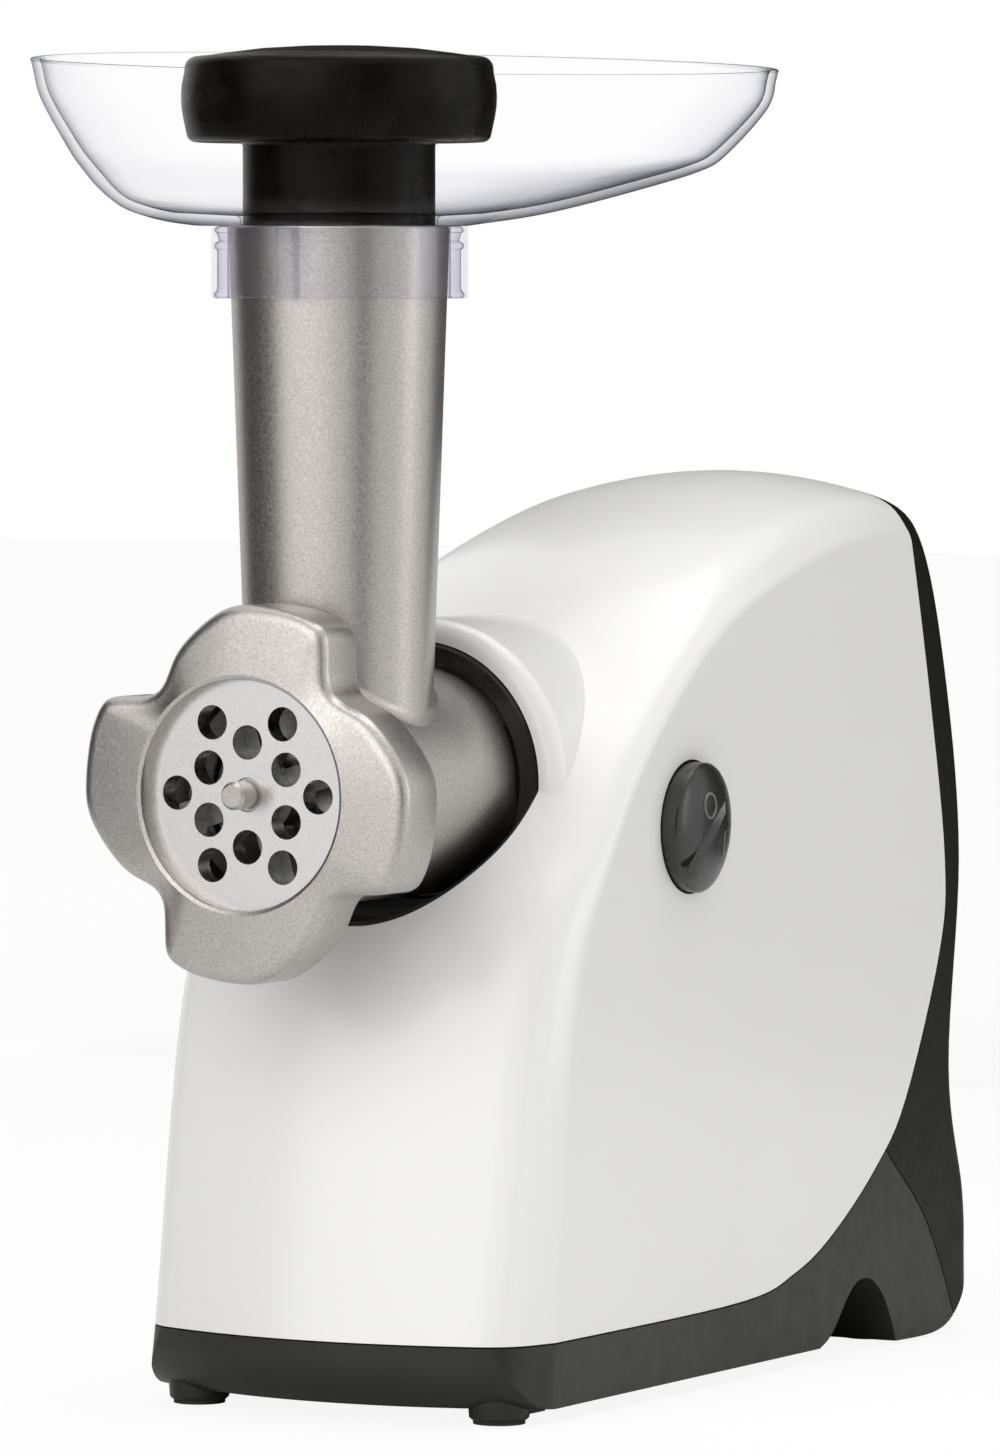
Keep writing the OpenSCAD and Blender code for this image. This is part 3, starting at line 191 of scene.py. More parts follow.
# A profile that is turned starts a little off its axis, so that its end face is a small disc.
def revolve_y(name, profile, sides=128, centre=(0, AXIS_Z), closed=False):
    """Turns a profile of (radius, y) about an axis along Y."""
    x, z = centre
    rings = [circle_ring(r, sides, lambda a, b, y=y: (x + a, y, z + b)) for r, y in profile]
    return loft(name, rings, closed)


def revolve_z(name, profile, sides=128, centre=(0, TUBE_Y), closed=False):
    """Turns a profile of (radius, z) about an upright axis."""
    x, y = centre
    rings = [circle_ring(r, sides, lambda a, b, z=z: (x + a, y + b, z)) for r, z in profile]
    return loft(name, rings, closed)


def arc(centre, radius, start, end, steps):
    """Points of an arc in a profile, angles in degrees."""
    out = []
    for i in range(steps + 1):
        a = math.radians(start + (end - start) * i / steps)
        out.append((centre[0] + radius * math.cos(a), centre[1] + radius * math.sin(a)))
    return out


def across(outline):
    """Extrudes a side view of (y, z) points across more than the body's width."""
    return loft("side_view", [[(x, y, z) for y, z in outline] for x in (-120, 120)])


def block(name, low, high):
    """A plain box, for cutting only."""
    x0, y0, z0 = low
    x1, y1, z1 = high
    ring = [(x0, y0), (x1, y0), (x1, y1), (x0, y1)]
    return loft(name, [[(x, y, z) for x, y in ring] for z in (z0, z1)])


def combine(obj, other, operation):
    """Applies an exact boolean and removes the other object."""
    mod = obj.modifiers.new("combine", "BOOLEAN")
    mod.object = other
    mod.operation = operation
    mod.solver = "EXACT"
    graph = bpy.context.evaluated_depsgraph_get()
    mesh = bpy.data.meshes.new_from_object(obj.evaluated_get(graph))
    obj.modifiers.clear()
    obj.data = mesh
    bpy.data.objects.remove(other)
    return obj


def cut(obj, other):
    return combine(obj, other, "DIFFERENCE")


def add(obj, other):
    return combine(obj, other, "UNION")


def keep(obj, other):
    return combine(obj, other, "INTERSECT")


def joined(name, parts):
    """Several meshes as one object."""
    bm = bmesh.new()
    for part in parts:
        bm.from_mesh(part.data)
        bpy.data.objects.remove(part)
    mesh = bpy.data.meshes.new(name)
    bm.to_mesh(mesh)
    bm.free()
    return stand(name, mesh)


def shade(obj, angle):
    """Smooth shading, with edges sharper than the angle left crisp."""
    mesh = obj.data
    for face in mesh.polygons:
        face.use_smooth = True
    mesh.set_sharp_from_angle(angle=math.radians(angle))


def bevel(obj, width, angle, segments=2):
    """Small rounds, width in mm, on every edge sharper than the angle."""
    mod = obj.modifiers.new("edges", "BEVEL")
    mod.width = width * MM
    mod.segments = segments
    mod.limit_method = "ANGLE"
    mod.angle_limit = math.radians(angle)
    return obj


def weigh(obj):
    """Lets large faces lead the shading, so flats stay flat."""
    mod = obj.modifiers.new("weights", "WEIGHTED_NORMAL")
    mod.keep_sharp = True
    mod.weight = 60


def finish_piece(obj, finish, body, nodes=()):
    """Gives a piece its material, its body and the nodes that it stands for."""
    obj.data.materials.clear()
    obj.data.materials.append(MATERIALS[finish])
    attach(obj, body)
    if nodes:
        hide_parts(*nodes)


def spline(p, q, r, s, t):
    """A point between rows q and r of a curve that passes through every row."""
    return tuple(
        (2 * b + (c - a) * t + (2 * a - 5 * b + 4 * c - d) * t * t
         + (3 * b - a - 3 * c + d) * t ** 3) / 2
        for a, b, c, d in zip(p, q, r, s)
    )


def smooth(rows, steps, closed=False):
    """A smooth curve through every row."""
    n = len(rows)

    def at(i):
        return rows[i % n] if closed else rows[max(0, min(n - 1, i))]

    out = []
    for i in range(n if closed else n - 1):
        for k in range(steps):
            out.append(spline(at(i - 1), at(i), at(i + 1), at(i + 2), k / steps))
    if not closed:
        out.append(tuple(rows[-1]))
    return out


def sized(rows):
    """Side-view rows from percent of the body's length and height to millimetres."""
    return [(r[0] * BODY_L / 100, r[1] * BODY_H / 100, *r[2:]) for r in rows]


def normal(rows, i):
    """The direction square to a side-view line at row i, to the left of its course."""
    a, b = rows[max(0, i - 1)], rows[min(len(rows) - 1, i + 1)]
    ty, tz = b[0] - a[0], b[1] - a[1]
    size = math.hypot(ty, tz)
    return (-tz / size, ty / size)


def shifted(rows, d):
    """A side-view line moved sideways by d."""
    out = []
    for i, row in enumerate(rows):
        ny, nz = normal(rows, i)
        out.append((row[0] + d * ny, row[1] + d * nz))
    return out


def bend(a, b, c, t):
    """A point of the curve from a to c that is drawn towards the corner b."""
    return tuple((1 - t) ** 2 * p + 2 * t * (1 - t) * q + t * t * r
                 for p, q, r in zip(a, b, c))


def panel_x(y):
    """Half width of the body at y."""
    return BODY_W / 2 - math.tan(SIDE_TAPER) * y


def on_panel(y, z, out=0.0):
    """Origin and axes of a place on the right side panel: along y, up, outward."""
    c, s = math.cos(SIDE_TAPER), math.sin(SIDE_TAPER)
    origin = Vector((panel_x(y) + out * c, y + out * s, z))
    return origin, Vector((-s, c, 0)), Vector((0, 0, 1)), Vector((c, s, 0))


# ---- Materials

# Every material by its name; each function below adds its own
MATERIALS = {}


def grey(level):
    return (level, level, level)


class Finish:
    """A material under construction: a principled shader and helpers for its detail."""

    def __init__(self, name, color, rough, metallic=0.0, **sockets):
        self.mat = MATERIALS[name] = bpy.data.materials.new(name)
        self.mat.use_nodes = True
        self.tree = self.mat.node_tree
        self.shader = self.tree.nodes["Principled BSDF"]
        self.set("Base Color", (*color, 1))
        self.set("Roughness", rough)
        self.set("Metallic", metallic)
        for key, value in sockets.items():
            self.set(key.replace("_", " "), value)
        self.coords = self.tree.nodes.new("ShaderNodeTexCoord").outputs["Object"]
        self.relief = None

    def set(self, socket, value):
        self.shader.inputs[socket].default_value = value

    def link(self, a, b):
        self.tree.links.new(a, b)

    def noise(self, scale, detail=3.0, rough=0.55, stretch=None):
        """A noise pattern whose scale is in cells per millimetre."""
        node = self.tree.nodes.new("ShaderNodeTexNoise")
        node.inputs["Scale"].default_value = scale * 1000
        node.inputs["Detail"].default_value = detail
        node.inputs["Roughness"].default_value = rough
        source = self.coords
        if stretch:
            mapping = self.tree.nodes.new("ShaderNodeMapping")
            mapping.inputs["Scale"].default_value = stretch
            self.link(self.coords, mapping.inputs["Vector"])
            source = mapping.outputs["Vector"]
        self.link(source, node.inputs["Vector"])
        return node.outputs["Fac"]

    def cells(self, scale):
        """A grain of cells, in cells per millimetre."""
        node = self.tree.nodes.new("ShaderNodeTexVoronoi")
        node.inputs["Scale"].default_value = scale * 1000
        self.link(self.coords, node.inputs["Vector"])
        return node.outputs["Distance"]

    def rings(self, axis_y, axis_z, scale, distortion=2.0):
        """Concentric marks about an axis along Y."""
        mapping = self.tree.nodes.new("ShaderNodeMapping")
        mapping.inputs["Location"].default_value = (0, -axis_y, -axis_z)
        self.link(self.coords, mapping.inputs["Vector"])
        node = self.tree.nodes.new("ShaderNodeTexWave")
        node.wave_type = "RINGS"
        node.rings_direction = "Y"
        node.inputs["Scale"].default_value = scale * 1000
        node.inputs["Distortion"].default_value = distortion
        node.inputs["Detail"].default_value = 3
        self.link(mapping.outputs["Vector"], node.inputs["Vector"])
        return node.outputs["Fac"]

    def ramp(self, source, stops):
        """Turns a value into a colour or grey between the stops, each (place, colour)."""
        node = self.tree.nodes.new("ShaderNodeValToRGB")
        band = node.color_ramp
        while len(band.elements) < len(stops):
            band.elements.new(0.5)
        for element, (place, color) in zip(band.elements, stops):
            element.position = place
            element.color = (*(color if isinstance(color, tuple) else grey(color)), 1)
        self.link(source, node.inputs["Fac"])
        return node.outputs["Color"]

    def colour(self, source, stops):
        self.link(self.ramp(source, stops), self.shader.inputs["Base Color"])
        return self

    def roughness(self, source, low, high):
        self.link(self.ramp(source, [(0.3, low), (0.7, high)]), self.shader.inputs["Roughness"])
        return self

    def bump(self, source, depth, strength):
        """Adds relief to what is there; depth is in millimetres."""
        node = self.tree.nodes.new("ShaderNodeBump")
        node.inputs["Distance"].default_value = depth * MM
        node.inputs["Strength"].default_value = strength
        self.link(source, node.inputs["Height"])
        if self.relief:
            self.link(self.relief, node.inputs["Normal"])
        self.relief = node.outputs["Normal"]
        self.link(self.relief, self.shader.inputs["Normal"])
        return self

    def cover(self, share, under, over):
        """Shows one shader over another by the share."""
        mix = self.tree.nodes.new("ShaderNodeMixShader")
        self.link(share, mix.inputs["Fac"])
        self.link(under, mix.inputs[1])
        self.link(over, mix.inputs[2])
        self.link(mix.outputs["Shader"], self.tree.nodes["Material Output"].inputs["Surface"])


def gloss_white():
    f = Finish("white_plastic", (0.85, 0.845, 0.835), 0.3, IOR=1.5,
               Coat_Weight=0.25, Coat_Roughness=0.12)
    f.colour(f.noise(0.012, 2), [(0.3, (0.84, 0.835, 0.825)), (0.7, (0.86, 0.855, 0.845))])
    f.roughness(f.noise(0.04, 3), 0.29, 0.33)
    f.bump(f.noise(0.3, 2), 0.004, 0.3)


def grained_dark(name, low, high, gloss):
    f = Finish(name, low, 0.42, IOR=1.5, Specular_IOR_Level=gloss)
    f.colour(f.noise(0.03, 3), [(0.3, low), (0.7, high)])
    f.roughness(f.noise(0.2, 3), 0.36, 0.46)
    f.bump(f.cells(1.6), 0.02, 0.3)


def satin_black():
    f = Finish("black_plastic", (0.002, 0.0015, 0.001), 0.3, IOR=1.5, Specular_IOR_Level=0.08)
    f.colour(f.noise(0.05, 3), [(0.35, (0.0015, 0.001, 0.0005)), (0.7, (0.003, 0.002, 0.001))])
    f.roughness(f.noise(0.3, 3), 0.26, 0.34)
    f.bump(f.noise(0.8, 2), 0.006, 0.3)


def gloss_black():
    f = Finish("sleeve_plastic", grey(0.008), 0.22, IOR=1.5, Specular_IOR_Level=0.35)
    f.colour(f.noise(0.1, 3), [(0.3, grey(0.006)), (0.7, (0.011, 0.011, 0.010))])
    f.roughness(f.noise(0.2, 4), 0.2, 0.26)
    f.bump(f.noise(0.6, 2), 0.005, 0.3)


def button_gloss():
    f = Finish("button_plastic", (0.012, 0.012, 0.011), 0.25, IOR=1.5, Specular_IOR_Level=0.6)
    f.colour(f.noise(0.08, 3), [(0.3, (0.010, 0.010, 0.009)), (0.7, (0.016, 0.016, 0.015))])
    f.roughness(f.noise(0.3, 4), 0.24, 0.32)
    f.bump(f.noise(0.7, 2), 0.006, 0.3)


def blasted_aluminium():
    f = Finish("cast_aluminium", (0.46, 0.435, 0.415), 0.36, 1.0)
    f.colour(f.noise(1.8, 3, 0.6), [(0.3, (0.375, 0.355, 0.335)), (0.52, (0.46, 0.435, 0.415)),
                                    (0.75, (0.55, 0.525, 0.50))])
    f.roughness(f.noise(1.6, 3), 0.31, 0.42)
    f.bump(f.noise(1.5, 3, 0.6), 0.03, 0.4)
    f.bump(f.cells(2.4), 0.02, 0.25)


def die_cast():
    f = Finish("die_cast", grey(0.55), 0.5, 1.0)
    f.colour(f.noise(0.4, 4), [(0.3, grey(0.46)), (0.7, grey(0.6))])
    f.bump(f.noise(0.8, 3), 0.06, 0.5)


def ground_steel():
    f = Finish("plate_steel", (0.64, 0.63, 0.62), 0.28, 1.0)
    marks = f.rings(0, AXIS_Z * MM, 0.9, 3)
    f.colour(marks, [(0.2, (0.57, 0.56, 0.55)), (0.8, (0.68, 0.67, 0.66))])
    f.roughness(f.noise(0.6, 3), 0.22, 0.36)
    f.bump(marks, 0.01, 0.25)


def plain_metal(name, low, high, rough):
    f = Finish(name, low, rough, 1.0)
    f.colour(f.noise(0.5, 4), [(0.3, low), (0.7, high)])
    f.roughness(f.noise(0.7, 3), rough * 0.8, rough * 1.25)
    f.bump(f.noise(1.2, 3, stretch=(1, 6, 1)), 0.015, 0.4)


def plain_plastic(name, low, high, rough, depth=0.015):
    f = Finish(name, low, rough, IOR=1.5)
    f.colour(f.noise(0.2, 3), [(0.3, low), (0.7, high)])
    f.roughness(f.noise(0.5, 3), rough * 0.85, rough * 1.15)
    f.bump(f.noise(0.7, 3), depth, 0.5)


def enamelled_copper():
    f = Finish("enamelled_copper", (0.45, 0.16, 0.06), 0.35, 0.7, Coat_Weight=0.5)
    strands = f.noise(0.9, 2, stretch=(1, 0.15, 1))
    f.colour(strands, [(0.35, (0.30, 0.09, 0.03)), (0.65, (0.60, 0.24, 0.10))])
    f.bump(strands, 0.2, 0.8)


def clear_plastic(name, tints, shine):
    """Clear plastic: light goes straight through its thin wall, and edges gather a violet grey."""
    f = Finish(name, (0.9, 0.9, 0.94), 0.06, IOR=1.46, Transmission_Weight=1.0)
    f.bump(f.noise(0.06, 2), 0.01, 0.3)
    weight = f.tree.nodes.new("ShaderNodeLayerWeight")
    facing = weight.outputs["Facing"]
    gloss = f.ramp(facing, [(0.0, shine), (0.6, shine * 1.5), (0.85, 0.06), (1.0, 0.3)])
    through = f.tree.nodes.new("ShaderNodeBsdfTransparent")
    f.link(f.ramp(facing, tints), through.inputs["Color"])
    f.cover(gloss, through.outputs["BSDF"], f.shader.outputs["BSDF"])


# Colours of light through clear plastic, from a wall seen square on to one seen along it
BOWL_TINT = [
    (0.0, (0.999, 0.999, 0.999)), (0.6, (0.996, 0.996, 0.997)), (0.8, (0.96, 0.96, 0.97)),
    (0.9, (0.70, 0.70, 0.73)), (0.96, (0.34, 0.34, 0.38)), (1.0, (0.18, 0.18, 0.21)),
]
COLLAR_TINT = [
    (0.0, (0.975, 0.975, 0.985)), (0.5, (0.955, 0.952, 0.97)), (0.75, (0.87, 0.865, 0.90)),
    (0.9, (0.66, 0.65, 0.70)), (1.0, (0.30, 0.30, 0.35)),
]

gloss_white()
grained_dark("dark_plastic", (0.014, 0.014, 0.012), (0.020, 0.020, 0.0175), 0.3)
# A darker, less glossy copy of the dark plastic for the rear cover: painted shade for the unlit
# rear of the body
grained_dark("shaded_rear_plastic", (0.005, 0.005, 0.004), (0.008, 0.008, 0.0065), 0.12)
satin_black()
gloss_black()
button_gloss()
plain_plastic("rubber", grey(0.014), (0.026, 0.026, 0.025), 0.75, 0.05)
blasted_aluminium()
die_cast()
ground_steel()
plain_metal("steel", grey(0.52), grey(0.66), 0.3)
plain_metal("lamination", (0.22, 0.22, 0.23), (0.32, 0.32, 0.33), 0.45)
plain_metal("bearing_steel", (0.66, 0.66, 0.67), (0.76, 0.76, 0.77), 0.16)
enamelled_copper()
plain_metal("copper", (0.66, 0.30, 0.17), (0.78, 0.42, 0.27), 0.3)
plain_metal("brass", (0.62, 0.46, 0.20), (0.74, 0.58, 0.28), 0.32)
plain_plastic("carbon", grey(0.02), grey(0.04), 0.6, 0.04)
plain_plastic("nylon", (0.70, 0.67, 0.58), (0.76, 0.73, 0.65), 0.45)
# Nearly black steel for the cross knife: painted shade, so that the plate's holes read dark in
# front of it
plain_metal("shaded_knife_steel", grey(0.09), grey(0.14), 0.35)
plain_plastic("switch_mark", (0.12, 0.12, 0.118), (0.15, 0.15, 0.148), 0.4)
clear_plastic("clear_plastic", BOWL_TINT, 0.003)
clear_plastic("clear_collar", COLLAR_TINT, 0.04)

# ---- Body form

# Where a rib has its points: along the crown, round its soft corner, and round the side's crease
BULGE = [0.85 * i / 10 for i in range(11)]
CORNER = [0.15, 0.3, 0.45, 0.6, 0.8, 1.0]
CREASE = [0.25, 0.5, 0.75, 1.0]
# Shares of the side band at which the corner's curve ends and the crease's begins
CORNER_END, CREASE_START = math.sqrt(0.45), 0.8
FLAT_RIM = 1.6
# Rows of points from one rib of FORM to the next
STEPS = 8


def form_ring(rows, i, inset):
    """One rib of the body: from the right side panel over the middle to the left one."""
    y, z, soft_in, crown, band = rows[i]
    ny, nz = normal(rows, i)
    sy, sz = y - ny * inset, z - nz * inset
    ky, kz = sy - ny * band, sz - nz * band
    by, bz = sy - ny * (band + FLAT_RIM), sz - nz * (band + FLAT_RIM)
    soft = (panel_x(sy) - inset - soft_in, sy, sz)
    crease = (panel_x(ky) - inset, ky, kz)
    rim = (panel_x(by) - inset, by, bz)

    def bulge(u):
        lift = crown * (1 - u * u)
        return (soft[0] * u, sy + ny * lift, sz + nz * lift)

    band_end = bend(soft, soft, crease, CORNER_END)
    near = tuple(a + (b - a) * CREASE_START for a, b in zip(soft, crease))
    half = [bulge(u) for u in BULGE]
    half += [bend(half[-1], soft, band_end, t) for t in CORNER]
    half += [near]
    half += [bend(near, crease, rim, t) for t in CREASE]
    return half[::-1] + [(-x, y, z) for x, y, z in half[1:]]


def body_form(name, inset=0):
    """The whole body as one closed solid, moved in by the inset."""
    rows = smooth(sized(FORM), STEPS)
    rings = [form_ring(rows, i, inset) for i in range(len(rows))]
    for end in (0, -1):
        rings[end] = [(x, y, FORM_LOW - inset) for x, y, z in rings[end]]
    n, m = len(rings), len(rings[0])
    points = [p for ring in rings for p in ring]
    faces = [(i * m + j, i * m + j + 1, (i + 1) * m + j + 1, (i + 1) * m + j)
             for i in range(n - 1) for j in range(m - 1)]
    faces.append(tuple(i * m for i in range(n)))
    faces.append(tuple(i * m + m - 1 for i in range(n - 1, -1, -1)))
    faces.append(tuple(range(m)) + tuple((n - 1) * m + j for j in range(m - 1, -1, -1)))
    return make(name, points, faces)


SEAM_LINE = smooth(sized(SEAM), 6)
SPLIT_LINE = smooth(sized(SPLIT), 4)
UNDERSIDE = (
    [(BEFORE, BASE_LIFT)]
    + [(y, max(z, 0) + BASE_LIFT) for y, z in smooth(sized(ARCH), 4)]
    + [(y, z + PAD_SHOW) for y, z in smooth(sized(HEEL), 5)]
)


# Side views of what lies on one side of the seam, of the split, or above the underside


def white_side():
    line = shifted(SEAM_LINE, SEAM_GAP / 2)
    return line + [(line[0][0], line[-1][1])]


def dark_side():
    line = shifted(SEAM_LINE, -SEAM_GAP / 2)
    return line + [(BEYOND, line[-1][1]), (BEYOND, BEFORE), (line[0][0], BEFORE)]


def rear_side():
    line = shifted(SPLIT_LINE, SEAM_GAP / 2)
    return line + [(BEYOND, BEFORE), (BEYOND, BEYOND), (line[0][0], BEYOND)]


def base_side():
    line = shifted(SPLIT_LINE, -SEAM_GAP / 2)
    return line + [(line[-1][0], BEFORE), (BEFORE, BEFORE), (BEFORE, line[0][1])]


def above_underside(lift):
    line = shifted(UNDERSIDE, lift)
    return line + [(BEYOND, line[-1][1]), (BEYOND, BEYOND), (BEFORE, BEYOND)]


def panel_disc(name, radius, low, high):
    """A cylinder that stands on the right side panel at the button."""
    origin, along, up, out = on_panel(BUTTON_Y, BUTTON_Z)
    return loft(name, [circle_ring(radius, 96, lambda a, b, c=c: tuple(
        origin + out * c + along * a + up * b)) for c in (low, high)])


def boss():
    """The round boss of the front, with a rounded front edge."""
    core, end = BOSS_R - BOSS_ROUND, SLEEVE_Y + SLEEVE_L + 6
    profile = [(0.5, SLEEVE_Y), (core, SLEEVE_Y)]
    profile += arc((core, SLEEVE_Y + BOSS_ROUND), BOSS_ROUND, -80, 0, 9)
    return revolve_y("boss", profile + [(BOSS_R, end), (0.5, end)], 160)


def boss_wall():
    """The wall that joins the boss's skin to the bore of the socket."""
    near, front, step, end = SLEEVE_R + 0.2, SLEEVE_Y + 3, SLEEVE_R + 2.5, 66
    return revolve_y("boss_wall", [(near, front), (BOSS_R - 1, front), (BOSS_R - 1, 51),
                                   (step, 52), (step, end), (near, end)], 160, closed=True)


def rod(name, radius, low, high, sides, centre=(0, AXIS_Z)):
    """A cylinder along Y, for cutting holes."""
    return revolve_y(name, [(0.2, low), (radius, low), (radius, high), (0.2, high)], sides, centre)


def peg_hole(name, radius, low, high, sides, centre):
    """An upright cylinder, for cutting holes."""
    return revolve_z(name, [(0.1, low), (radius, low), (radius, high), (0.1, high)], sides, centre)


def housing():
    shell = body_form("housing")
    add(shell, boss())
    cut(shell, body_form("hollow", WALL))
    keep(shell, across(white_side()))
    cut(shell, panel_disc("button_hole", BUTTON_R + 2 * FIT, -6, 5))
    add(shell, boss_wall())
    cut(shell, rod("socket_bore", SLEEVE_R + FIT, -20, 64, 160))
    release = (RELEASE_RADIUS * math.cos(RELEASE_ANGLE),
               AXIS_Z + RELEASE_RADIUS * math.sin(RELEASE_ANGLE))
    cut(shell, rod("release_hole", RELEASE_R + FIT, 0, 30, 64, release))
    shade(bevel(shell, 0.45, 50, segments=3), 28)
    weigh(shell)
    finish_piece(shell, "white_plastic", "root", ["housing_shell"])


def turned_under(inset=0.0):
    """Room inside the base's lower front edge, which turns under along the bulged front."""
    sagitta = FORM[1][3]
    half = panel_x(0) - FORM[1][2]
    radius = (half * half + sagitta * sagitta) / (2 * sagitta)
    front = FORM[1][0] * BODY_L / 100 - sagitta
    edge = BASE_ROUND - inset
    low = BASE_LIFT + inset * 0.8
    profile = [(0.5, low), (radius - BASE_ROUND, low)]
    profile += arc((radius - BASE_ROUND, low + edge), edge, -80, 0, 10)
    profile += [(radius - inset, BEYOND), (0.5, BEYOND)]
    disc = revolve_z("turn", profile, 256, (0, front + radius))
    return add(disc, block("rest", (-120, BODY_L / 4, -20), (120, 300, BEYOND)))


def dark_form(name):
    """The body hollowed above its floor, for the rear cover and the base."""
    solid = body_form(name)
    hollow = keep(body_form("hollow", WALL), across(above_underside(WALL)))
    return cut(solid, keep(hollow, turned_under(WALL)))


def socket_lip():
    """Front ring of the black socket, and its thin wall that runs forward to the body's surface."""
    wall_in, wall_out, wall_end = SLEEVE_R - 0.8, SLEEVE_R + 0.12, SLEEVE_Y + 2
    wall = revolve_y("lip_wall", [(wall_in, -40), (wall_out, -40), (wall_out, wall_end),
                                  (wall_in, wall_end)], 160, closed=True)
    keep(wall, body_form("under_skin", 0.7))
    low, high = BARREL_R + 0.45, SLEEVE_R - 0.1
    rear, soft, front = SLEEVE_Y + 0.4, SLEEVE_Y - 0.2, SLEEVE_Y - 0.7
    lip = revolve_y("lip", [(low, rear), (low, soft), (low + 0.7, front), (SLEEVE_R - 0.7, front),
                            (high, soft), (high, rear)], 160, closed=True)
    piece = joined("socket_lip", [wall, lip])
    shade(piece, 30)
    finish_piece(piece, "sleeve_plastic", "root")


def rear_cover():
    cover = dark_form("cover")
    keep(cover, across(dark_side()))
    keep(cover, across(rear_side()))
    keep(cover, across(above_underside(0)))
    for z in REAR_VENTS:
        cut(cover, block("vent", (-24, BODY_L * 0.85, z), (24, 300, z + REAR_VENT_H)))
    cut(cover, rod("gland_hole", GLAND_R + FIT, 190, 250, 48, (0, GLAND_Z)))
    shade(bevel(cover, 0.4, 50), 28)
    weigh(cover)
    # The rear cover's darker copy of the dark plastic is painted shade
    finish_piece(cover, "shaded_rear_plastic", "root", ["rear_cover"])


def foot_peg(side):
    """A tapered stub that carries a front pad, with the rib behind it."""
    x, r = side * FOOT_TRACK / 2, FOOT_D / 2
    profile = [(0.5, PAD_SHOW), (r - 0.6, PAD_SHOW), (r - 0.1, PAD_SHOW + 0.5), (r + 0.6, 12),
               (0.5, 12)]
    peg = revolve_z("peg", profile, 64, (x, 0))
    return add(peg, block("rib", (x - 4, 0, PAD_SHOW + 0.6), (x + 4, 14, 7.6)))


def base():
    tub = dark_form("base")
    keep(tub, across(dark_side()))
    keep(tub, across(base_side()))
    keep(tub, across(above_underside(0)))
    keep(tub, turned_under())
    for side in (-1, 1):
        add(tub, foot_peg(side))
        for x, y in SCREW_AT:
            cut(tub, peg_hole("screw_hole", SCREW_HOLE_R, -5, SCREW_HOLE_TOP, 32, (side * x, y)))
        for x, y in (REAR_PAD, (FOOT_TRACK / 2, 0)):
            cut(tub, peg_hole("pad_seat", FOOT_D / 2 - 0.95, -2, PAD_SEAT_TOP, 48, (side * x, y)))
    for y in BASE_VENTS:
        cut(tub, block("vent", (-22, y, -5), (22, y + BASE_VENT_L, 7)))
    shade(bevel(tub, 0.4, 50), 28)
    weigh(tub)
    finish_piece(tub, "dark_plastic", "root", ["base_tray"])


# ---- Grinding head

# Round between tube and barrel, how deep its end sinks into the barrel, and where they meet
FILLET, SINK, TUBE_FOOT = 2.2, 0.04, 170


def tube_radius(z):
    return TUBE_R - (TUBE_TOP - z) * TUBE_SLOPE


def tube_rings():
    """The feed tube from its rim down to a fillet that runs out on the barrel."""
    sides = 144
    low_r = tube_radius(TUBE_FOOT)
    lip = TUBE_TOP - 0.9
    rings = []
    for r, z in ((TUBE_R - 0.8, TUBE_TOP), (TUBE_R - 0.25, TUBE_TOP - 0.25), (TUBE_R, lip)):
        rings.append(circle_ring(r, sides, lambda a, b, z=z: (a, TUBE_Y + b, z)))
    feet = []
    for a in turns(sides):
        c, s = math.cos(a), math.sin(a)
        angle = math.asin(low_r * c / BARREL_R)
        feet.append((c, s, angle, AXIS_Z + BARREL_R * math.cos(angle) + FILLET))
    for t in (0.25, 0.5, 0.75, 1.0):
        ring = []
        for c, s, angle, top in feet:
            z = lip + (top - lip) * t
            r = tube_radius(z)
            ring.append((r * c, TUBE_Y + r * s, z))
        rings.append(ring)
    for t in (0.15, 0.3, 0.45, 0.6, 0.75, 0.9, 1.0):
        ring = []
        for c, s, angle, top in feet:
            y, r = TUBE_Y + low_r * s, tube_radius(top)
            start = (r * c, TUBE_Y + r * s, top)
            corner = (low_r * c, y, AXIS_Z + BARREL_R * math.cos(angle))
            turn = angle + FILLET * c / BARREL_R
            out = BARREL_R - SINK
            end = (out * math.sin(turn), y + FILLET * s, AXIS_Z + out * math.cos(turn))
            ring.append(bend(start, corner, end, t))
        rings.append(ring)
    rings.append([(x * 0.8, TUBE_Y + (y - TUBE_Y) * 0.8, AXIS_Z + (z - AXIS_Z) * 0.7)
                  for x, y, z in rings[-1]])
    return rings


def tube_bore():
    """Inside of the feed tube, open at the top."""
    top = TUBE_R - TUBE_WALL
    above = TUBE_TOP + 5
    return revolve_z("tube_bore", [(top - (TUBE_TOP - AXIS_Z) * TUBE_SLOPE, AXIS_Z),
                                   (top, TUBE_TOP), (top + 1.5, above), (top - 8, above)])


def barrel_bore():
    """Inside of the barrel: seat of the plate, bore of the screw, neck and tail."""
    seat_r, seat_y = 27.15, -30.65
    bore_r, bore_y = 23.5, 35.6
    neck_r, neck_y, tail_r = 8.56, 40.6, 22.5
    return revolve_y("barrel_bore", [
        (0.5, -50), (seat_r, -50), (seat_r, seat_y), (bore_r, seat_y), (bore_r, bore_y),
        (neck_r, bore_y), (neck_r, neck_y), (tail_r, neck_y), (tail_r, 80), (0.5, 80)])


def head():
    front, mouth_end, end = -42.8, -27.9, 60.6
    barrel = [(20, front), (MOUTH_R, front), (MOUTH_R, mouth_end), (BARREL_R, mouth_end + 1.2),
              (BARREL_R, end - 0.8), (BARREL_R - 0.8, end), (20, end)]
    body = revolve_y("head", barrel, 160)
    add(body, loft("tube", tube_rings()))
    cut(body, tube_bore())
    cut(body, barrel_bore())
    shade(bevel(body, 0.5, 50), 30)
    weigh(body)
    finish_piece(body, "cast_aluminium", "head", ["head_casting"])


# Points of the nut's outline, and passes that soften its bends
NUT_POINTS, NUT_PASSES = 360, 14
# Share of a bend's radius that an edge may use, how fast that room may grow along the outline,
# and the room where it is nearly straight
BEND_SHARE, ROOM_GROWTH, STRAIGHT_ROOM = 0.8, 0.6, 40.0


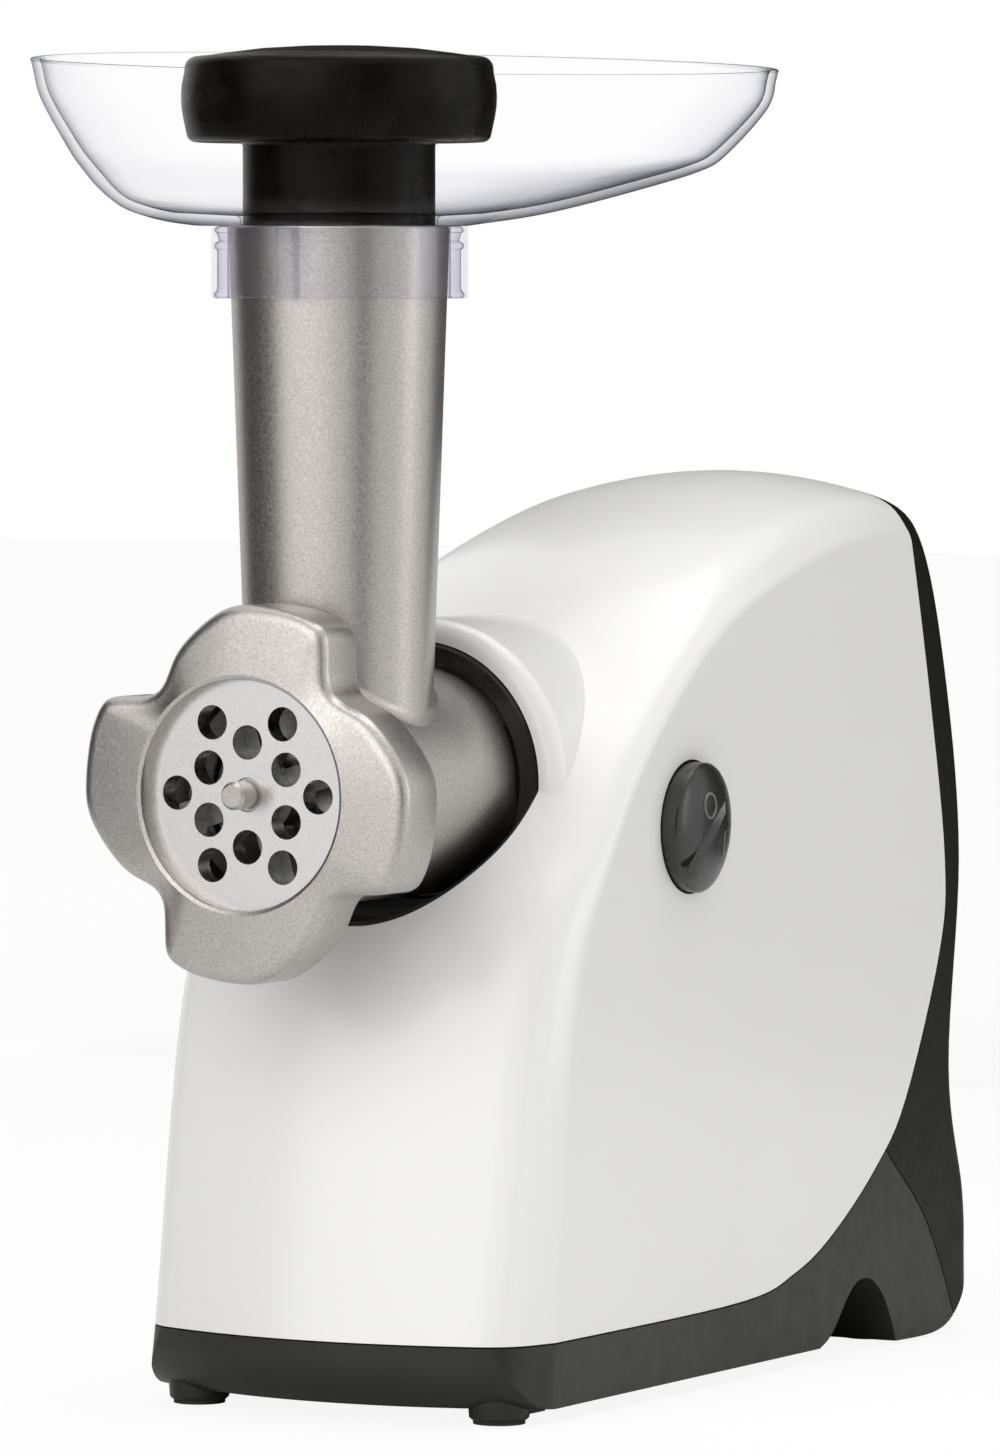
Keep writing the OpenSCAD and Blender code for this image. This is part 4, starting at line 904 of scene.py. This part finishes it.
def evened(line, count):
    """A closed line with its points spaced evenly along it."""
    steps = [math.hypot(b[0] - a[0], b[1] - a[1]) for a, b in zip(line, line[1:] + line[:1])]
    total, out, i, passed = sum(steps), [], 0, 0.0
    for k in range(count):
        goal = total * k / count
        while passed + steps[i] < goal:
            passed += steps[i]
            i += 1
        a, b, t = line[i], line[(i + 1) % len(line)], (goal - passed) / steps[i]
        out.append((a[0] + (b[0] - a[0]) * t, a[1] + (b[1] - a[1]) * t))
    return out


def nut_outline():
    """The ring nut's outline as a smooth closed curve, with its outward normals."""
    rows = []
    for k in range(LOBES):
        for angle, share in LOBE:
            a = math.radians(LOBE_TIP + angle + 360 / LOBES * k)
            rows.append((share * LOBE_R * math.cos(a), share * LOBE_R * math.sin(a)))
    line = evened(smooth(rows, 6, closed=True), NUT_POINTS)
    for _ in range(NUT_PASSES):
        line = [((a[0] + 2 * b[0] + c[0]) / 4, (a[1] + 2 * b[1] + c[1]) / 4)
                for a, b, c in zip(line[-1:] + line[:-1], line, line[1:] + line[:1])]
    normals = []
    for (x0, z0), (x1, z1) in zip(line[-1:] + line[:-1], line[1:] + line[:1]):
        size = math.hypot(x1 - x0, z1 - z0)
        normals.append(((z1 - z0) / size, -(x1 - x0) / size))
    return line, normals


def edge_room(line, normals):
    """How far each point of the outline can move in before the curve folds."""
    n = len(line)
    room, steps = [], []
    for i in range(n):
        (x0, z0), (x1, z1) = line[i - 1], line[(i + 1) % n]
        (a0, b0), (a1, b1) = normals[i - 1], normals[(i + 1) % n]
        turn = math.asin(max(-1, min(1, a0 * b1 - b0 * a1)))
        length = math.hypot(x1 - x0, z1 - z0)
        steps.append(length / 2)
        bent = turn > length / STRAIGHT_ROOM
        room.append(BEND_SHARE * length / turn if bent else STRAIGHT_ROOM)
    for i in list(range(n)) * 2:
        room[i] = min(room[i], room[i - 1] + ROOM_GROWTH * steps[i])
    for i in list(range(n - 1, -1, -1)) * 2:
        room[i] = min(room[i], room[(i + 1) % n] + ROOM_GROWTH * steps[i])
    return room


def ring_nut():
    line, normals = nut_outline()
    room = edge_room(line, normals)

    def outer(inset, y):
        return [(x - nx * min(inset, r), y, AXIS_Z + z - nz * min(inset, r))
                for (x, z), (nx, nz), r in zip(line, normals, room)]

    def round_at(radius, y):
        out = []
        for x, z in line:
            size = math.hypot(x, z)
            out.append((x / size * radius, y, AXIS_Z + z / size * radius))
        return out

    front, rear, seat = NUT_Y, NUT_Y + NUT_L, NUT_Y + LIP_T
    front_round, rear_round = 3.2, 2.2
    shoulder = front + 1.0
    rings = [outer(front_round, shoulder)]
    for i in range(1, 7):
        a = math.pi / 2 * i / 6
        rings.append(outer(front_round * (1 - math.sin(a)),
                           shoulder + front_round * (1 - math.cos(a))))
    for i in range(5):
        a = math.pi / 2 * i / 4
        rings.append(outer(rear_round * (1 - math.cos(a)),
                           rear - rear_round + rear_round * math.sin(a)))
    thread_r = MOUTH_R + 0.06
    rings += [round_at(MOUTH_R + 0.9, rear), round_at(thread_r, rear - 0.8),
              round_at(thread_r, seat), round_at(LIP_R, seat), round_at(LIP_R, front + 1.3),
              round_at(LIP_R + 0.3, front + 0.5), round_at(LIP_R + 1.1, front)]
    nut = loft("nut", rings, closed=True)
    shade(nut, 35)
    finish_piece(nut, "cast_aluminium", "nut", ["ring_nut"])


# ---- Tray and pusher

TRAY_SIDES = 144
TUBE_HOLE = TUBE_R - TUBE_WALL


def tray_ring(row, inset, lift):
    """One level of the bowl, moved in and up."""
    depth, shift, long, broad = row
    a, b = long * TRAY_L / 2 - inset, broad * TRAY_W / 2 - inset
    middle, z = TUBE_Y + shift * TRAY_SHIFT, TUBE_TOP + depth * TRAY_H + lift
    return [(b * math.cos(t), middle + a * math.sin(t), z) for t in turns(TRAY_SIDES)]


def tray():
    rows = smooth(BOWL, 5)
    hole, floor_top = TUBE_HOLE + 0.4, TUBE_TOP + TRAY_T

    def hole_ring(radius, z):
        return circle_ring(radius, TRAY_SIDES, lambda a, b: (a, TUBE_Y + b, z))

    rings = [hole_ring(hole, TUBE_TOP)]
    rings += [tray_ring(row, 0, 0) for row in rows[:-1]]
    rim = ((0, -0.6), (0.3, -0.1), (1.0, 0.0), (1.8, -0.2), (TRAY_T + 0.1, -0.9))
    rings += [tray_ring(rows[-1], inset, lift) for inset, lift in rim]
    rings += [tray_ring(row, TRAY_T * min(1, row[0] * 4), TRAY_T * (1 - row[0]) * 1.05)
              for row in rows[4:-1][::-1]]
    rings += [hole_ring(hole + 0.6, floor_top), hole_ring(hole, floor_top - 0.6)]
    bowl = loft("bowl", rings, closed=True)
    shade(bowl, 35)
    finish_piece(bowl, "clear_plastic", "tray_body", ["tray"])


def collar_tab(angle, low):
    """A small upright tab on the outside of the collar."""
    c, s = math.cos(angle), math.sin(angle)
    near, far = COLLAR_R + 0.05, COLLAR_R + 2.6
    corners = ((near, -2.6), (far, -2.2), (far, 2.2), (near, 2.6))
    return loft("tab", [[(r * c - w * s, TUBE_Y + r * s + w * c, z) for r, w in corners]
                        for z in (low, TUBE_TOP - 0.2)])


def tray_collar():
    """The clear sleeve under the bowl that goes round the tube, with its beads and tabs."""
    low, inside, skin = TUBE_TOP - COLLAR_H, TUBE_R + FIT, COLLAR_R - 0.5
    profile = [(inside, low + 0.5), (inside + 0.5, low), (COLLAR_R - 0.3, low)]
    profile += arc((skin, low + 0.8), 0.8, -50, 60, 5)
    profile += [(skin, low + 2.2), (skin, TUBE_TOP - 5.6)]
    profile += arc((COLLAR_R - 0.7, TUBE_TOP - 4.6), 0.9, -60, 60, 5)
    profile += [(COLLAR_R - 0.9, TUBE_TOP - 3.4), (COLLAR_R - 0.4, TUBE_TOP - 1.6)]
    profile += arc((COLLAR_R - 0.9, TUBE_TOP - 1.1), 1.0, -20, 90, 5)
    profile += [(inside + 0.4, TUBE_TOP - 0.1), (inside, TUBE_TOP - 0.5)]
    parts = [revolve_z("collar", profile, 144, closed=True)]
    parts += [collar_tab(math.radians(angle), low) for angle in (8, 98, 188, 278)]
    ring = joined("tray_collar", parts)
    shade(ring, 35)
    finish_piece(ring, "clear_collar", "tray_body")


PUSHER_Z = TUBE_TOP + PUSHER_SHOW
PUSHER_TOP = PUSHER_Z + PUSHER_H
STEM_R = TUBE_HOLE - FIT
TIP_Z = AXIS_Z + FLIGHT_R + FLIGHT_ROOM


def pusher_body():
    """The hollow stem with its wide head, open at the top for the cap."""
    tip_r = STEM_R - (TUBE_TOP - TIP_Z) * TUBE_SLOPE
    bore, lip, r, z, top = STEM_R - 2.4, PUSHER_R - 4.2, PUSHER_R, PUSHER_Z, PUSHER_TOP
    profile = [(0.3, TIP_Z)] + arc((tip_r - 2, TIP_Z + 2), 2, -90, 0, 5)
    profile += [(STEM_R, TUBE_TOP), (STEM_R, z - 1)] + arc((STEM_R + 1, z - 1), 1, 180, 90, 3)
    profile += arc((r - 3.4, z + 2.2), 2.2, -90, -25, 5)
    profile += [(r - 0.5, z + 5.5), (r - 0.1, z + 8), (r, z + 10.5), (r - 0.15, z + 13),
                (r - 0.7, z + 15.6)]
    profile += arc((r - 3.6, top - 2.8), 2.8, 10, 90, 6)
    profile += [(r - 4.0, top), (lip, top - 1.2), (lip, top - 4), (bore, top - 4),
                (bore, TUBE_TOP), (tip_r - 2.4, TIP_Z + 3), (0.3, TIP_Z + 3)]
    body = revolve_z("push_body", profile)
    shade(body, 40)
    finish_piece(body, "black_plastic", "pusher", ["pusher_body"])


def pusher_cap():
    """The slightly domed cap, with a plug that goes into the stem."""
    top, edge, plug, plug_in = PUSHER_TOP, PUSHER_R - 4.4, STEM_R - 2.5, STEM_R - 4.5
    dome = [(0.3, top + 2.5), (9, top + 2.35), (18, top + 1.8), (26, top + 0.8),
            (edge - 0.6, top + 0.1), (edge, top - 0.5), (edge, top - 4), (plug, top - 4),
            (plug, top - 9), (plug_in, top - 9), (plug_in, top - 1), (0.3, top - 1)]
    cap = revolve_z("push_cap", dome)
    shade(cap, 40)
    finish_piece(cap, "black_plastic", "pusher", ["pusher_cap"])


# ---- Rocker button


def rocker_place():
    """Turns distances along the ridge, across it and outward into a point, at rest."""
    origin, along, up, out = on_panel(BUTTON_Y, BUTTON_Z, -WALL / 2)
    ridge = along * math.cos(RIDGE_LEAN) + up * math.sin(RIDGE_LEAN)
    side = out.cross(ridge)
    tilted = side * math.cos(ROCKER_TILT) + out * math.sin(ROCKER_TILT)
    outward = out * math.cos(ROCKER_TILT) - side * math.sin(ROCKER_TILT)
    return lambda a, b, c: tuple(origin + ridge * a + tilted * b + outward * c)


def turned_on_button(name, profile, sides, at):
    """Turns a profile of (radius, height) about the button's axis."""
    return loft(name, [circle_ring(r, sides, lambda a, b, c=c: at(a, b, c)) for r, c in profile])


def face_line():
    """Profile of the domed face, from its middle to the rim: radius and height."""
    face = BUTTON_FACE + WALL / 2
    return [(0.3, face + 0.1), (5.5, face), (8.5, face - 0.3), (11, face - 0.85),
            (13, face - 1.5), (14.2, face - 2.05), (BUTTON_R - 0.35, face - 2.5),
            (BUTTON_R, face - 3.0)]


def face_height(a, b):
    """Height of the domed face at a place on it."""
    line, r = face_line(), math.hypot(a, b)
    for (r0, c0), (r1, c1) in zip(line, line[1:]):
        if r0 <= r <= r1:
            return c0 + (c1 - c0) * (r - r0) / (r1 - r0)
    return line[0][1]


def rocker_ridge(at):
    """The bar across the face; it falls and narrows at its upper end, inside the rim."""
    top, edge = BUTTON_OUT + WALL / 2, BUTTON_R - 0.4
    section = [(-1.9, -5), (-1.9, -1.7), (-0.5, 0), (0.5, 0), (1.9, -1.7), (1.9, -5)]
    ribs = ((-20, 0.7, 1.2), (-12, 0.3, 1.0), (0, 0, 0.9), (5, 0.3, 0.7), (8.5, 1.7, 0.4))
    bar = loft("ridge", [[at(a, b * wide, top + c - fall) for b, c in section]
                         for a, fall, wide in ribs])
    room = [(0.3, -1), (edge, -1), (edge, top - 1.9), (BUTTON_R - 1.6, top - 0.9), (0.3, top + 0.5)]
    return keep(bar, turned_on_button("ridge_end", room, 96, at))


def rocker():
    at = rocker_place()
    profile = [(0.3, -2.5), (BUTTON_R - 0.5, -2.5), (BUTTON_R, -2.0)]
    disc = turned_on_button("rocker", profile + smooth(face_line(), 3)[::-1], 128, at)
    add(disc, rocker_ridge(at))
    stem = ((-2, -2), (2, -2), (2, 2), (-2, 2))
    add(disc, loft("stem", [[at(a, b, c) for a, b in stem] for c in (-4.6, -2)]))
    shade(bevel(disc, 0.16, 30), 30)
    weigh(disc)
    finish_piece(disc, "button_plastic", "rocker", ["rocker_button"])


# Places on the face, along and across the ridge: middle and radius of the O, middle and rows of
# the I; and half the thickness of their lines
O_AT, O_R = (1.9, 5.6), 2.85
I_AT, I_ROWS = (2.0, -6.9), (-2.9, -2.7, 0, 2.7, 2.9)
LINE_HALF_W, LINE_HALF_H = 0.36, 0.34


def mark_line(name, path, closed, at):
    """A thin rounded line on the face; the path gives a point and a sideways direction."""
    loops = []
    for (a, b), (da, db) in path:
        loop = []
        for t in turns(8):
            x, y = a + da * LINE_HALF_W * math.cos(t), b + db * LINE_HALF_W * math.cos(t)
            loop.append(at(x, y, face_height(x, y) + 0.1 + LINE_HALF_H * math.sin(t)))
        loops.append(loop)
    return loft(name, loops, closed)


def switch_marks():
    """The generic O and I of the switch."""
    at = rocker_place()
    ring = [((O_AT[0] + O_R * math.cos(t), O_AT[1] + O_R * math.sin(t)),
             (math.cos(t), math.sin(t))) for t in turns(48)]
    c, s = math.cos(RIDGE_LEAN), math.sin(RIDGE_LEAN)
    bar = [((I_AT[0] + k * s, I_AT[1] + k * c), (c, -s)) for k in I_ROWS]
    parts = [mark_line("o_mark", ring, True, at), mark_line("i_mark", bar, False, at)]
    mark = joined("switch_marks", parts)
    shade(mark, 60)
    finish_piece(mark, "switch_mark", "rocker")


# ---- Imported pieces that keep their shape

# Widths of the soft edges, in mm
SOFT_EDGES = {
    "cutter_plate": 0.35, "socket_sleeve": 0.5, "cross_knife": 0.2, "rubber_feet": 0.4,
    "cord_gland": 0.5, "release_button": 0.6, "drive_tail": 0.5, "motor_bracket": 0.4,
    "gearbox_cover": 0.4, "gearbox_housing": 0.5, "base_screws": 0.3, "gearbox_screws": 0.3,
    "motor_bolts": 0.3,
}


def dress_nodes():
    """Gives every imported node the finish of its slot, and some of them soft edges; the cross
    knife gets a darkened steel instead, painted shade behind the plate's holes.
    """
    slots = {entry["node"]: entry["material_slot"] for entry in frame["record"]["subparts"]}
    for name, obj in frame["nodes"].items():
        obj.data.materials.clear()
        # The cross knife's dark steel is painted shade behind the plate's holes
        finish = "shaded_knife_steel" if name == "cross_knife" else slots[name]
        obj.data.materials.append(MATERIALS[finish])
        if name in SOFT_EDGES:
            bevel(obj, SOFT_EDGES[name], 40)
        shade(obj, 35)


# ---- Stage, light and camera

# The camera's place in the front-feet frame, in mm, its lens in mm, and how far it looks down
CAMERA_AT, LENS, PITCH = (1117, -1835, 259.7), 232.4, math.radians(2.73)
# Level directions from the object to the camera, and to the picture's right
VIEW = Vector((0.506, -0.8625, 0))
RIGHT = Vector((0.8625, 0.506, 0))
# Half size of the floor in metres, and how much of the pale background it shows to the camera
FLOOR_HALF, FLOOR_GLOW = 6.0, 0.9
WORLD_LIGHT = 0.67


def plane(name, w, h, finish):
    """A flat rectangle, from its half sizes in metres."""
    mesh = bpy.data.meshes.new(name)
    mesh.from_pydata([(-w, -h, 0), (w, -h, 0), (w, h, 0), (-w, h, 0)], [], [(0, 1, 2, 3)])
    mesh.materials.append(finish.mat)
    return stand(name, mesh)


def floor():
    """A pale floor that keeps the object's shadow and runs into the background."""
    f = Finish("floor", grey(0.95), 0.9)
    path = f.tree.nodes.new("ShaderNodeLightPath")
    glow = f.tree.nodes.new("ShaderNodeEmission")
    share = f.tree.nodes.new("ShaderNodeMath")
    share.operation = "MULTIPLY"
    share.inputs[1].default_value = FLOOR_GLOW
    f.link(path.outputs["Is Camera Ray"], share.inputs[0])
    f.cover(share.outputs[0], f.shader.outputs["BSDF"], glow.outputs["Emission"])
    obj = plane("floor", FLOOR_HALF, FLOOR_HALF, f)


def world():
    """Even light all round, shown as white to the camera and in gloss and clear plastic."""
    scene = bpy.context.scene
    scene.world = bpy.data.worlds.new("studio")
    scene.world.use_nodes = True
    tree = scene.world.node_tree
    base = tree.nodes["Background"]
    bright = tree.nodes.new("ShaderNodeBackground")
    for node, strength in ((base, WORLD_LIGHT), (bright, 1.0)):
        node.inputs["Color"].default_value = (1, 1, 1, 1)
        node.inputs["Strength"].default_value = strength
    path = tree.nodes.new("ShaderNodeLightPath")
    total = path.outputs["Is Camera Ray"]
    for ray in ("Is Glossy Ray", "Is Transmission Ray"):
        node = tree.nodes.new("ShaderNodeMath")
        node.operation = "ADD"
        node.use_clamp = True
        tree.links.new(total, node.inputs[0])
        tree.links.new(path.outputs[ray], node.inputs[1])
        total = node.outputs[0]
    mix = tree.nodes.new("ShaderNodeMixShader")
    tree.links.new(total, mix.inputs["Fac"])
    tree.links.new(base.outputs["Background"], mix.inputs[1])
    tree.links.new(bright.outputs["Background"], mix.inputs[2])
    tree.links.new(mix.outputs["Shader"], tree.nodes["World Output"].inputs["Surface"])


def lamp(name, place, target, size, power):
    """A rectangular area lamp, size in metres and power in watts."""
    data = bpy.data.lights.new(name, "AREA")
    data.shape = "RECTANGLE"
    data.size, data.size_y = size
    data.energy = power
    obj = stand(name, data)
    obj.location = place
    obj.rotation_euler = (Vector(target) - Vector(place)).to_track_quat("-Z", "Y").to_euler()


def card(name, centre, facing, size):
    """A black studio card beside the object, which the camera doesn't see."""
    obj = plane(name, size[0] / 2, size[1] / 2, Finish(name, grey(0.02), 0.9))
    obj.location = centre
    obj.rotation_euler = (Vector(facing) - Vector(centre)).to_track_quat("Z", "Y").to_euler()
    obj.visible_camera = False
    obj.visible_transmission = False


def camera():
    """Views the object from the front right, from about the height of the feed tube's top."""
    data = bpy.data.cameras.new("camera")
    data.sensor_width = 36
    data.lens = LENS
    data.clip_end = 20
    obj = stand("camera", data)
    obj.location = placed(CAMERA_AT)
    look = -VIEW.normalized() * math.cos(PITCH) - Vector((0, 0, math.sin(PITCH)))
    obj.rotation_euler = look.to_track_quat("-Z", "Y").to_euler()
    bpy.context.scene.camera = obj


def round_about(angle, distance, height):
    """A place round the object: degrees to the right of the camera's side, then metres."""
    a = math.radians(angle)
    spot = (VIEW * math.cos(a) + RIGHT * math.sin(a)) * distance
    return (spot.x, spot.y, height)


def studio():
    middle = (0, 0, 0.15)
    floor()
    world()
    lamp("key", round_about(-40, 1.9, 1.1), middle, (2.2, 1.8), 18)
    lamp("fill", round_about(84, 1.9, 0.5), middle, (0.35, 0.9), 2.4)
    lamp("top", (0.1, 0.3, 1.9), middle, (1.4, 1.4), 14)
    card("left_card", round_about(-98, 0.8, 0.3), (0, 0, 0.3), (1.0, 1.3))
    card("right_card", round_about(22, 0.8, 0.2), (0, 0, 0.2), (0.26, 0.8))
    card("far_card", round_about(154, 0.8, 0.3), (0, 0, 0.3), (1.1, 1.3))


camera()
dress_nodes()
housing()
socket_lip()
rear_cover()
base()
head()
ring_nut()
tray()
tray_collar()
pusher_body()
pusher_cap()
rocker()
switch_marks()
studio()

bpy.context.scene.view_settings.view_transform = "Standard"
